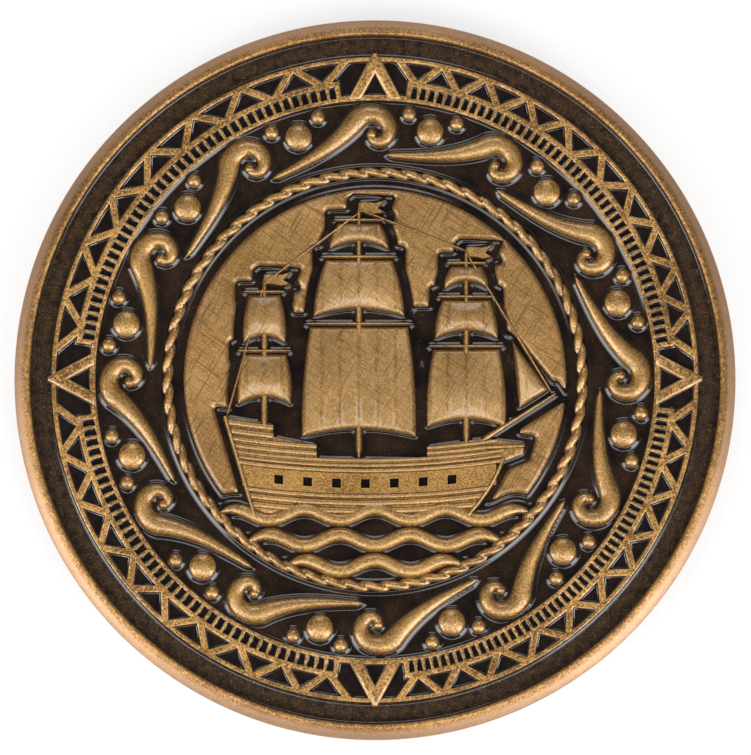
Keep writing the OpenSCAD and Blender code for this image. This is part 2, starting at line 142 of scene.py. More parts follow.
def add_node(
    tree: NodeTree, kind: str, inputs: dict | None = None, output: str | int = 0, **settings: object
) -> NodeSocket | None:
    """Adds a shader node with its settings and links.

    Args:
        tree: The node tree to add it to.
        kind: The node's type, without the words that all shader nodes start with.
        inputs: Socket name or number to a value, or to an output socket that feeds it.
        output: Name or number of the output socket that is wanted.
        **settings: The node's own properties.

    Returns:
        That socket, or nothing from a node that ends its tree.
    """
    node = tree.nodes.new("ShaderNode" + kind)
    for name, value in settings.items():
        setattr(node, name, value)
    for socket, value in (inputs or {}).items():
        if isinstance(value, NodeSocket):
            tree.links.new(value, node.inputs[socket])
        else:
            node.inputs[socket].default_value = value
    return node.outputs[output] if node.outputs else None


def empty_material(name: str) -> tuple[Material, AddNode]:
    """Starts a finish.

    Args:
        name: The finish's name.

    Returns:
        The material, and the function that adds a node to it.
    """
    made = bpy.data.materials.new(name)
    made.use_nodes = True
    made.node_tree.nodes.clear()
    return made, partial(add_node, made.node_tree)


def grown(outline: Outline, margin: float) -> Outline:
    """Moves a clockwise outline outwards, with its sharpest corners held back.

    Args:
        outline: The outline's corners.
        margin: How far it moves.

    Returns:
        The moved corners.
    """
    edges = np.roll(outline, -1, axis=0) - outline
    along = edges / np.linalg.norm(edges, axis=1, keepdims=True)
    after = np.column_stack((-along[:, 1], along[:, 0]))
    before = np.roll(after, 1, axis=0)
    spread = np.maximum(1 + (before * after).sum(axis=1), CORNER_SPREAD)
    return outline + margin * (before + after) / spread[:, None]


def signed_distance(spots: np.ndarray, outline: Outline) -> np.ndarray:
    """Distance of each spot from a closed outline.

    Args:
        spots: The spots, one in each row.
        outline: The outline's corners.

    Returns:
        The distances, negative inside the outline.
    """
    nearest = np.full(len(spots), np.inf)
    inside = np.zeros(len(spots), dtype=bool)
    for start, end in zip(outline, np.roll(outline, -1, axis=0)):
        edge = end - start
        off = spots - start
        share = np.clip(off @ edge / (edge @ edge), 0.0, 1.0)
        nearest = np.minimum(nearest, np.hypot(off[:, 0] - share * edge[0], off[:, 1] - share * edge[1]))
        if start[1] != end[1]:
            crosses = (start[1] > spots[:, 1]) != (end[1] > spots[:, 1])
            inside ^= crosses & (off[:, 0] < off[:, 1] * edge[0] / edge[1])
    return np.where(inside, -nearest, nearest)


def nearest_of(spots: np.ndarray, outlines: Iterable[Outline], reach: float = 1.5) -> np.ndarray:
    """Distance of each spot from the nearest of several closed outlines.

    Args:
        spots: The spots, one in each row.
        outlines: The outlines.
        reach: The greatest distance that matters.

    Returns:
        The distances, at most the reach, negative inside an outline.
    """
    nearest = np.full(len(spots), reach)
    for outline in outlines:
        above = (spots > outline.min(axis=0) - reach).all(axis=1)
        close = above & (spots < outline.max(axis=0) + reach).all(axis=1)
        nearest[close] = np.minimum(nearest[close], signed_distance(spots[close], outline))
    return nearest


def softened(field: np.ndarray, times: int) -> np.ndarray:
    """Evens out a grid of numbers, so that its creases turn to rounds.

    Args:
        field: The grid.
        times: How often each number is evened out with those beside it.

    Returns:
        The softened grid.
    """
    for _ in range(times):
        beside = sum(np.roll(field, step, axis) for step in (1, -1) for axis in (0, 1))
        field = (field + beside) / 5
    return field


class Face(Enum):
    """The coin's two faces."""

    FRONT = 1
    BACK = -1


@dataclass(frozen=True)
class CoinLayout:
    """Radii and levels of the coin in millimetres, as its solids have them."""

    coin_r: float
    coin_t: float
    lacquer_t: float
    rim_w: float = 1.0
    channel_w: float = 1.35
    front_depth: float = 0.75
    back_depth: float = 0.55
    border_h: float = 0.4
    line_w: float = 0.25
    zigzag_h: float = 1.2
    ladder_h: float = 0.75
    wave_band_w: float = 4.1
    rope_w: float = 0.8
    root_t: float = 0.3
    pointer_n: int = 4

    @classmethod
    def from_frame(cls) -> "CoinLayout":
        """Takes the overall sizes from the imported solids.

        Returns:
            The coin's sizes.
        """
        low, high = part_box("coin_body")
        pool_low, pool_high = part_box("front_channel_lacquer")
        return cls(
            coin_r=(high.x - low.x) / 2 / MM,
            coin_t=(high.z - low.z) / MM,
            lacquer_t=(pool_high.z - pool_low.z) / MM,
        )

    @property
    def channel_out_r(self) -> float:
        """Radius of the rim's inner wall."""
        return self.coin_r - self.rim_w

    @property
    def border_out_r(self) -> float:
        """Outer radius of the border."""
        return self.channel_out_r - self.channel_w

    @property
    def border_in_r(self) -> float:
        """Inner radius of the front's border."""
        return self.border_out_r - 3 * self.line_w - self.zigzag_h - self.ladder_h

    @property
    def rope_out_r(self) -> float:
        """Outer radius of the rope ring."""
        return self.border_in_r - self.wave_band_w

    @property
    def rope_mid_r(self) -> float:
        """Radius of the rope ring's middle."""
        return self.rope_out_r - self.rope_w / 2

    @property
    def rope_in_r(self) -> float:
        """Inner radius of the rope ring."""
        return self.rope_out_r - self.rope_w

    def level(self, face: Face, rise: float) -> float:
        """Height over the table of a point that stands so far out of a face's field."""
        front = self.coin_t - self.front_depth + rise
        return front if face is Face.FRONT else self.back_depth - rise


@dataclass(frozen=True)
class Stroke:
    """One station of a raised stroke: where it is, half its width, and its height over the field."""

    at: Vector
    half: float
    rise: float


Route = Callable[[float], Stroke]


@dataclass(frozen=True)
class Section:
    """Cross-section of a raised stroke: a rounded back, a foot that flares into the lacquer, and a root."""

    squareness: float = 2.6
    foot: float = 0.0
    points: int = 18
    root: float = 0.3

    def outline(self, stroke: Stroke, pool: float) -> list[Triple]:
        """Works out the section at one station.

        Args:
            stroke: The station.
            pool: Height of the lacquer over the field.

        Returns:
            The section's points in order: how far across, how far up, and relief.
        """
        power = 2 / self.squareness
        foot = min(self.foot, stroke.half)
        made = []
        for part in shares(self.points):
            turn = math.pi * (part - 0.5)
            share = max(0.0, math.cos(turn)) ** power
            rise = stroke.rise * share
            flare = foot * clamp(1 - (rise - pool) / foot) ** 2 if foot else 0.0
            side = stroke.half * abs(math.sin(turn)) ** power + flare
            made.append((math.copysign(side, turn), rise, share))
        reach = stroke.half + foot
        return made + [(reach, -self.root, 0.0), (-reach, -self.root, 0.0)]


@dataclass
class Casting:
    """A mesh on one of the coin's faces that is shaped in millimetres and becomes one piece."""

    name: str
    layout: CoinLayout
    material: Material
    face: Face = Face.FRONT

    def __post_init__(self) -> None:
        """Starts an empty mesh."""
        self.bm = bmesh.new()
        self.relief = self.bm.verts.layers.float.new(RELIEF)

    def at(self, x: float, y: float, rise: float) -> Vector:
        """A point that stands so far out of the piece's face."""
        return Vector((x, y, self.layout.level(self.face, rise)))

    def sheet(self, columns: int, rows: int, place: Place) -> list[BMVert]:
        """Lays a grid and moves each of its points into place.

        Args:
            columns: Number of faces across.
            rows: Number of faces along.
            place: Gives a point's place and relief from its two shares of the grid.

        Returns:
            The grid's points.
        """
        made = bmesh.ops.create_grid(self.bm, x_segments=columns, y_segments=rows, size=0.5)
        for vert in made["verts"]:
            vert.co, vert[self.relief] = place(vert.co.x + 0.5, vert.co.y + 0.5)
        return made["verts"]

    def sweep(self, route: Route, section: Section, steps: int) -> None:
        """Draws a closed section along a route.

        Args:
            route: The stroke's stations, from share 0 to 1.
            section: The stroke's cross-section.
            steps: Number of faces along the route.
        """
        # A quarter of a step to each side of a station gives its direction
        reach = 0.25 / steps
        rows = []
        for share in shares(steps):
            stroke = route(share)
            along = route(min(share + reach, 1.0)).at - route(max(share - reach, 0.0)).at
            across = Vector((-along.y, along.x)).normalized()
            row = []
            for side, rise, relief in section.outline(stroke, self.layout.lacquer_t):
                spot = stroke.at + across * side
                row.append((self.at(spot.x, spot.y, rise), relief))
            rows.append(row)
        count = len(rows[0])
        self.sheet(steps, count, lambda u, v: rows[round(u * steps)][round(v * count) % count])

    def turn(self, profile: Sequence[Triple], steps: int, closed: bool) -> None:
        """Turns a profile about the coin's axis.

        Args:
            profile: Radius, height over the table and relief of each point.
            steps: Number of faces round the axis.
            closed: Whether the profile's last point is joined to its first.
        """
        verts = []
        for radius, height, relief in profile:
            verts.append(self.bm.verts.new((radius, 0.0, height)))
            verts[-1][self.relief] = relief
        ahead = verts[1:] + (verts[:1] if closed else [])
        geom = verts + [self.bm.edges.new(pair) for pair in zip(verts, ahead)]
        bmesh.ops.spin(
            self.bm, geom=geom, cent=(0, 0, 0), axis=(0, 0, 1), angle=math.tau, steps=steps, use_merge=True
        )

    def plate(self, outline: Iterable[Sequence[float]], foot: float, rise: float) -> list[BMEdge]:
        """Raises a plate with a flat top and upright walls.

        Args:
            outline: The plate's corners.
            foot: Height of its underside over the field.
            rise: Height of its top over the field.

        Returns:
            The edges of its top.
        """
        flat = self.bm.faces.new([self.bm.verts.new(self.at(x, y, foot)) for x, y in outline])
        made = bmesh.ops.extrude_face_region(self.bm, geom=[flat])["geom"]
        bmesh.ops.translate(self.bm, verts=verts_of(made), vec=(0.0, 0.0, rise - foot))
        return edges_of(made)

    def round_off(self, edges: Sequence[BMEdge], reach: float, held: bool = True) -> None:
        """Rounds edges.

        Args:
            edges: The edges.
            reach: How far the round goes on each side of an edge.
            held: Whether a round stops where it meets another.
        """
        bmesh.ops.bevel(
            self.bm, geom=edges, offset=reach, affect="EDGES", segments=ROUND_STEPS, profile=0.5,
            clamp_overlap=held, material=-1,
        )

    def button(self, middle: Vector, radius: float, rise: float, fullness: float = 0.8) -> None:
        """Sets a low round dome on the field.

        Args:
            middle: The dome's middle.
            radius: The dome's radius.
            rise: The dome's height.
            fullness: Less than 1 makes the dome fuller than half a ball.
        """
        made = bmesh.ops.create_uvsphere(self.bm, u_segments=32, v_segments=16, radius=1.0)
        for vert in made["verts"]:
            up = clamp(vert.co.z) ** fullness
            vert[self.relief] = up
            vert.co = self.at(middle.x + radius * vert.co.x, middle.y + radius * vert.co.y, rise * up)

    def close_below(self) -> None:
        """Carries a sheet's open edge down into the plate and closes it there."""
        rim = [edge for edge in self.bm.edges if edge.is_boundary]
        made = bmesh.ops.extrude_edge_only(self.bm, edges=rim)["geom"]
        for vert in verts_of(made):
            vert.co.z = self.layout.level(self.face, -self.layout.root_t)
            vert[self.relief] = 0.0
        bmesh.ops.triangle_fill(self.bm, use_beauty=False, edges=edges_of(made))

    def shade_by_height(self, low: float, high: float) -> None:
        """Sets every point's relief from its height over the field.

        Args:
            low: Height at which the metal comes out of the lacquer.
            high: Height of the crest.
        """
        foot = self.layout.level(self.face, low)
        crest = self.layout.level(self.face, high)
        for vert in self.bm.verts:
            vert[self.relief] = clamp((vert.co.z - foot) / (crest - foot))

    def finish(self, slot: str = "antique_brass", node: str = "coin_body", smooth_to: float = 40.0) -> None:
        """Welds the mesh, turns it to metres and makes it a piece that stands for a solid.

        Args:
            slot: The record's material slot; it is not used.
            node: The solid that the piece stands for.
            smooth_to: Edges sharper than this many degrees stay sharp.
        """
        bm = self.bm
        bmesh.ops.remove_doubles(bm, verts=bm.verts[:], dist=WELD)
        bmesh.ops.holes_fill(bm, edges=[edge for edge in bm.edges if edge.is_boundary])
        bmesh.ops.recalc_face_normals(bm, faces=bm.faces[:])
        bmesh.ops.scale(bm, vec=(MM, MM, MM), verts=bm.verts[:])
        for polygon in bm.faces:
            polygon.smooth = True
        mesh = bpy.data.meshes.new(self.name)
        bm.to_mesh(mesh)
        bm.free()
        mesh.set_sharp_from_angle(angle=math.radians(smooth_to))
        mesh.materials.append(self.material)
        piece = placed(self.name, mesh)
        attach(piece, "root")
        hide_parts(node)
        LOG.info("%s: %d faces", self.name, len(mesh.polygons))


@dataclass(frozen=True)
class AntiqueBrass:
    """Brass plating that was darkened with lacquer and then rubbed bright on its high places.

    The eye sees warm brown-gold metal with fine crossed rubbing scratches, a cloudy tone, bright worn
    crests, and a soft edge where the dark lacquer that climbs the relief's walls gives out. The worn tone
    can also be painted on the edges of flat tops, where it is partly wear and partly a painted highlight.
    """

    name: str
    bright: str = "#bb9159"
    dull: str = "#8a6535"
    scored: str = "#5a3f20"
    worn: str = "#d9bb8c"
    lacquer: str = "#16100d"
    # Lacquer so thin that the brass shows through it
    stain: str = "#5e3a1a"
    # Width and length of a rubbing line: a real one is finer, and this is as fine as shows
    scratch_w_mm: float = 0.11
    scratch_l_mm: float = 2.4
    scratch_turns: tuple[float, ...] = (60.0, -34.0)
    scratch_depth: float = 0.6
    # Values of the rubbing's noise at which a scratch starts and is deepest
    scratch_from: float = 0.56
    scratch_to: float = 0.66
    # How much of the tone follows the rubbing lines rather than the metal's grain, and how much the clouds
    weave_share: float = 0.5
    cloud_share: float = 0.25
    cloud_mm: float = 4.0
    grain_mm: float = 0.12
    # Values of the tone that show the dull and the bright metal
    dull_at: float = 0.42
    bright_at: float = 0.58
    # How much of the worn tone shows on crests, and on the edges of flat tops, where it is partly wear and
    # partly a painted highlight
    worn_share: float = 0.35
    edge_wear_and_highlight_share: float = 0.0
    # Relief at which crests start, and at which the edges' worn tone and painted highlight start, are full,
    # start to fade and end
    crest_from: float = 0.9
    edge_wear_and_highlight_reliefs: tuple[float, float, float, float] = (0.66, 0.82, 0.93, 0.995)
    # How much lacquer is left in patches on high places, and the noise at which a patch starts and is full
    grime_share: float = 0.25
    grime_mm: float = 0.5
    grime_from: float = 0.5
    grime_to: float = 0.68
    # Relief at which the lacquer thins and ends, and how ragged its edge is
    lacquer_from: float = 0.2
    lacquer_to: float = 0.55
    ragged: float = 0.3
    roughness: float = 0.42
    lacquer_roughness: float = 0.12
    bump: float = 0.5
    bump_mm: float = 0.012
    # How much of a clear coat lies over the metal
    coat: float = 0.8
    coat_roughness: float = 0.1

    def rubbing(self, add: AddNode, spot: NodeSocket) -> tuple[NodeSocket, NodeSocket]:
        """Draws crossed rubbing lines.

        Args:
            add: Adds a node to the material.
            spot: The surface's coordinates.

        Returns:
            How deep a scratch is at a place, and the tone of the rubbing there, both from 0 to 1.
        """
        scored: NodeSocket | float = 0.0
        weave: NodeSocket | float = 0.0
        share = 1 / len(self.scratch_turns)
        for degrees in self.scratch_turns:
            turned = add(
                "Mapping",
                {
                    "Vector": spot,
                    "Rotation": (0.0, 0.0, math.radians(degrees)),
                    "Scale": (self.scratch_l_mm * MM, self.scratch_w_mm * MM, MM),
                },
                vector_type="TEXTURE",
            )
            noise = add("TexNoise", {"Vector": turned, "Scale": 1.0, "Detail": 1.0})
            limits = {"From Min": self.scratch_from, "From Max": self.scratch_to}
            lines = add("MapRange", {"Value": noise, **limits})
            scored = add("Math", {0: scored, 1: lines}, operation="MAXIMUM")
            weave = add("Math", {0: noise, 1: share, 2: weave}, operation="MULTIPLY_ADD")
        return scored, weave

    def wear_and_edge_highlight(self, add: AddNode, relief: NodeSocket) -> NodeSocket:
        """Works out where the metal takes its pale worn tone: crests that handling wore bright, and edges of
        flat tops, where it is partly wear and partly a painted highlight.

        Args:
            add: Adds a node to the material.
            relief: How far a place stands out of its recess.

        Returns:
            How much of the pale worn tone shows, from 0 to 1: wear on crests, wear and painted highlight on
            edges.
        """
        limits = {"From Min": self.crest_from, "From Max": 1.0, "To Max": self.worn_share}
        crest = add("MapRange", {"Value": relief, **limits})
        # The edges of flat tops take the worn tone as a band: partly wear, partly a painted highlight
        start, full, fade, end = self.edge_wear_and_highlight_reliefs
        rising = add("MapRange", {"Value": relief, "From Min": start, "From Max": full})
        limits = {"From Min": fade, "From Max": end, "To Min": self.edge_wear_and_highlight_share, "To Max": 0.0}
        falling = add("MapRange", {"Value": relief, **limits})
        edge = add("Math", {0: rising, 1: falling}, operation="MULTIPLY")
        return add("Math", {0: crest, 1: edge}, operation="MAXIMUM")

    def material(self) -> Material:
        """Builds the finish.

        Returns:
            The material.
        """
        made, add = empty_material(self.name)
        spot = add("TexCoord", output="Object")
        relief = add("Attribute", output="Fac", attribute_name=RELIEF)
        grain = add("TexNoise", {"Vector": spot, "Scale": 1 / (self.grain_mm * MM), "Detail": 2.0})
        cloud = add("TexNoise", {"Vector": spot, "Scale": 1 / (self.cloud_mm * MM), "Detail": 4.0})
        scored, weave = self.rubbing(add, spot)
        fine = add("Mix", {0: self.weave_share, 2: grain, 3: weave}, data_type="FLOAT")
        tone = add("Mix", {0: self.cloud_share, 2: fine, 3: cloud}, data_type="FLOAT")
        toned = add("MapRange", {"Value": tone, "From Min": self.dull_at, "From Max": self.bright_at})
        metal = add("Mix", {0: toned, 6: linear(self.dull), 7: linear(self.bright)}, **COLOURS)
        depth = add("Math", {0: scored, 1: self.scratch_depth}, operation="MULTIPLY")
        lined = add("Mix", {0: depth, 6: metal, 7: linear(self.scored)}, **COLOURS)
        grime = add("TexNoise", {"Vector": spot, "Scale": 1 / (self.grime_mm * MM), "Detail": 6.0})
        limits = {"From Min": self.grime_from, "From Max": self.grime_to, "To Max": self.grime_share}
        patches = add("MapRange", {"Value": grime, **limits})
        soiled = add("Mix", {0: patches, 6: lined, 7: linear(self.stain)}, **COLOURS)
        # Pale worn tone: crests worn by handling, and edges where it is partly a painted highlight
        bright = self.wear_and_edge_highlight(add, relief)
        worn = add("Mix", {0: bright, 6: soiled, 7: linear(self.worn)}, **COLOURS)
        torn = add("Math", {0: grain, 1: self.ragged, 2: relief}, operation="MULTIPLY_ADD")
        # The grain lifts the relief by half the raggedness on average
        lift = self.ragged / 2
        limits = {"From Min": self.lacquer_from + lift, "From Max": self.lacquer_to + lift}
        bare = add("MapRange", {"Value": torn, **limits}, interpolation_type="SMOOTHSTEP")
        thin = add("MapRange", {"Value": torn, "From Min": self.lacquer_from, "From Max": self.lacquer_to})
        stained = add("Mix", {0: thin, 6: linear(self.lacquer), 7: linear(self.stain)}, **COLOURS)
        colour = add("Mix", {0: bare, 6: stained, 7: worn}, **COLOURS)
        rough = add("MapRange", {"Value": bare, "To Min": self.lacquer_roughness, "To Max": self.roughness})
        height = add("Mix", {0: 0.5, 2: scored, 3: grain}, data_type="FLOAT")
        dents = {"Strength": self.bump, "Distance": self.bump_mm * MM, "Height": height}
        shader = add(
            "BsdfPrincipled",
            {
                "Base Color": colour,
                "Metallic": bare,
                "Roughness": rough,
                "Normal": add("Bump", dents),
                "Coat Weight": self.coat,
                "Coat Roughness": self.coat_roughness,
            },
        )
        add("OutputMaterial", {"Surface": shader})
        return made


@dataclass(frozen=True)
class PooledLacquer:
    """Dark antiquing lacquer that has run into a recess and dried glossy.

    The eye sees near-black brown with a wet gloss, browner in the open where the coat was wiped thin, and
    flecks of brass.
    """

    name: str
    thick: str = "#17100d"
    thin: str = "#382719"
    fleck: str = "#8a6a3f"
    pool_mm: float = 1.6
    # How much of the wiping follows the open places, and the values at which it starts and is complete
    open_share: float = 0.3
    wiped_from: float = 0.4
    wiped_to: float = 0.85
    # A fleck's size, the values of the noise at which it starts and is full, and how much of it shows
    fleck_mm: float = 0.11
    fleck_from: float = 0.64
    fleck_ramp: float = 0.08
    fleck_share: float = 0.6
    roughness: float = 0.11
    roughness_spread: float = 0.04
    bump: float = 0.1
    bump_mm: float = 0.05

    def material(self) -> Material:
        """Builds the finish.

        Returns:
            The material.
        """
        made, add = empty_material(self.name)
        spot = add("TexCoord", output="Object")
        open_pool = add("Attribute", output="Fac", attribute_name=RELIEF)
        pool = add("TexNoise", {"Vector": spot, "Scale": 1 / (self.pool_mm * MM), "Detail": 5.0})
        dust = add("TexNoise", {"Vector": spot, "Scale": 1 / (self.fleck_mm * MM), "Detail": 2.0})
        wiped = add("Math", {0: open_pool, 1: self.open_share, 2: pool}, operation="MULTIPLY_ADD")
        thinned = add("MapRange", {"Value": wiped, "From Min": self.wiped_from, "From Max": self.wiped_to})
        brown = add("Mix", {0: thinned, 6: linear(self.thick), 7: linear(self.thin)}, **COLOURS)
        full = self.fleck_from + self.fleck_ramp
        limits = {"From Min": self.fleck_from, "From Max": full, "To Max": self.fleck_share}
        flecks = add("MapRange", {"Value": dust, **limits})
        shown = add("Math", {0: flecks, 1: thinned}, operation="MULTIPLY")
        colour = add("Mix", {0: shown, 6: brown, 7: linear(self.fleck)}, **COLOURS)
        least, most = self.roughness - self.roughness_spread, self.roughness + self.roughness_spread
        rough = add("MapRange", {"Value": pool, "To Min": least, "To Max": most})
        waves = {"Strength": self.bump, "Distance": self.bump_mm * MM, "Height": pool}
        shader = add(
            "BsdfPrincipled",
            {"Base Color": colour, "Metallic": shown, "Roughness": rough, "Normal": add("Bump", waves)},
        )
        add("OutputMaterial", {"Surface": shader})
        return made


@dataclass
class Piece:
    """A sub-assembly of the coin: the coin's sizes, and the finish that it is dressed with."""

    layout: CoinLayout
    material: Material

    def cast(self, name: str, face: Face = Face.FRONT) -> Casting:
        """Starts the mesh of one of its pieces."""
        return Casting(name, self.layout, self.material, face)


@dataclass
class Blank(Piece):
    """The coin's plate with its rounded rims, turned about its axis."""

    steps: int = 288
    arc_steps: int = 12
    # Width and height of the steep round on the rim's inner side
    crest_w: float = 0.2
    inner_round_h: float = 0.17
    # Outside its crest the rim slopes ever more, up to this angle, and a round takes it on to the edge
    slope_turn: float = math.radians(36.0)
    slope_power: float = 1.4
    edge_round: float = 0.15
    # Where the rim's outer slope takes the pale worn tone, from the crest outwards: partly wear from
    # handling, partly a painted reflection of the pale surroundings
    wear_and_sheen_from: float = 0.15
    wear_and_sheen_to: float = 0.42
    # Relief of the crest where it isn't worn, and of the edge
    crest_relief: float = 0.88
    edge_relief: float = 0.9

    @property
    def crest_r(self) -> float:
        """Radius at which the rim is highest."""
        return self.layout.channel_out_r + self.crest_w

    def relief(self, out: float, rise: float, depth: float) -> float:
        """Relief of a point of the profile.

        Args:
            out: The point's radius.
            rise: Its height over the field.
            depth: Height of the rim over the field.

        Returns:
            The relief, from 0 to 1.
        """
        size = self.layout
        if out > size.coin_r - WELD:
            return self.edge_relief
        if out > self.crest_r:
            # The outer slope is painted paler outwards: partly wear, partly a painted reflection
            worn = clamp((out - self.crest_r - self.wear_and_sheen_from) / (self.wear_and_sheen_to - self.wear_and_sheen_from))
            return blend(self.crest_relief, 1.0, worn)
        return self.crest_relief * clamp((rise - size.lacquer_t) / (depth - size.lacquer_t))

    def half_profile(self, face: Face) -> list[Triple]:
        """Outline of one face from the axis to the edge.

        Args:
            face: The face.

        Returns:
            Radius, height over the table and relief of each point.
        """
        size = self.layout
        floor = size.lacquer_t / 2
        depth = size.front_depth if face is Face.FRONT else size.back_depth
        points = [(out, floor) for out in (0.0, size.rope_mid_r, size.border_out_r, size.channel_out_r)]
        for share in shares(self.arc_steps):
            turn = math.pi / 2 * share
            out = self.crest_r - self.crest_w * math.cos(turn)
            points.append((out, depth - self.inner_round_h * (1 - math.sin(turn))))
        centre_r = size.coin_r - self.edge_round
        slope_w = centre_r + self.edge_round * math.sin(self.slope_turn) - self.crest_r
        slope_h = math.tan(self.slope_turn) * slope_w / self.slope_power
        for share in shares(self.arc_steps):
            points.append((self.crest_r + slope_w * share, depth - slope_h * share**self.slope_power))
        centre_h = depth - slope_h - self.edge_round * math.cos(self.slope_turn)
        for share in shares(self.arc_steps)[1:]:
            turn = blend(self.slope_turn, math.pi / 2, share)
            out = centre_r + self.edge_round * math.sin(turn)
            points.append((out, centre_h + self.edge_round * math.cos(turn)))
        return [(out, size.level(face, rise), self.relief(out, rise, depth)) for out, rise in points]

    def build(self) -> None:
        """Turns the plate and dresses it."""
        casting = self.cast("coin_blank")
        outline = self.half_profile(Face.FRONT) + self.half_profile(Face.BACK)[::-1]
        casting.turn(outline, self.steps, closed=False)
        casting.finish()


@dataclass
class ChannelPool(Piece):
    """Lacquer in the plain channel inside a rim, climbing the walls on both its sides."""

    face: Face
    name: str
    node: str
    # Height and width of the lacquer that climbs the rim's wall
    rim_climb: float = 0.16
    # Height and width of the lacquer that climbs the border's wall in a slope
    border_climb: float = 0.15
    border_reach: float = 0.28
    slope_power: float = 2.0
    overlap: float = 0.01
    # How open the channel is where the lacquer stops climbing
    foot_openness: float = 0.4
    steps: int = 288
    arc_steps: int = 10

    def profile(self) -> list[Triple]:
        """Outline of the lacquer.

        Returns:
            Radius, height over the field and openness of each point.
        """
        size = self.layout
        made = []
        for share in shares(self.arc_steps):
            out = size.border_out_r - self.overlap + self.border_reach * share
            rise = size.lacquer_t + self.border_climb * (1 - share) ** self.slope_power
            made.append((out, rise, self.foot_openness * share))
        middle = (size.border_out_r + size.channel_out_r) / 2
        made.append((middle, size.lacquer_t - self.overlap, 1.0))
        for share in shares(self.arc_steps):
            turn = math.pi / 2 * share
            out = size.channel_out_r + self.overlap - self.rim_climb * (1 - math.sin(turn))
            rise = size.lacquer_t + self.rim_climb * (1 - math.cos(turn))
            made.append((out, rise, self.foot_openness * (1 - share)))
        ends = (size.channel_out_r + self.overlap, size.border_out_r - self.overlap)
        return made + [(out, 0.0, 0.0) for out in ends]

    def build(self) -> None:
        """Turns the lacquer and dresses it."""
        casting = self.cast(self.name, self.face)
        profile = [(out, casting.at(out, 0.0, rise).z, share) for out, rise, share in self.profile()]
        casting.turn(profile, self.steps, closed=True)
        casting.finish("channel_lacquer", self.node)


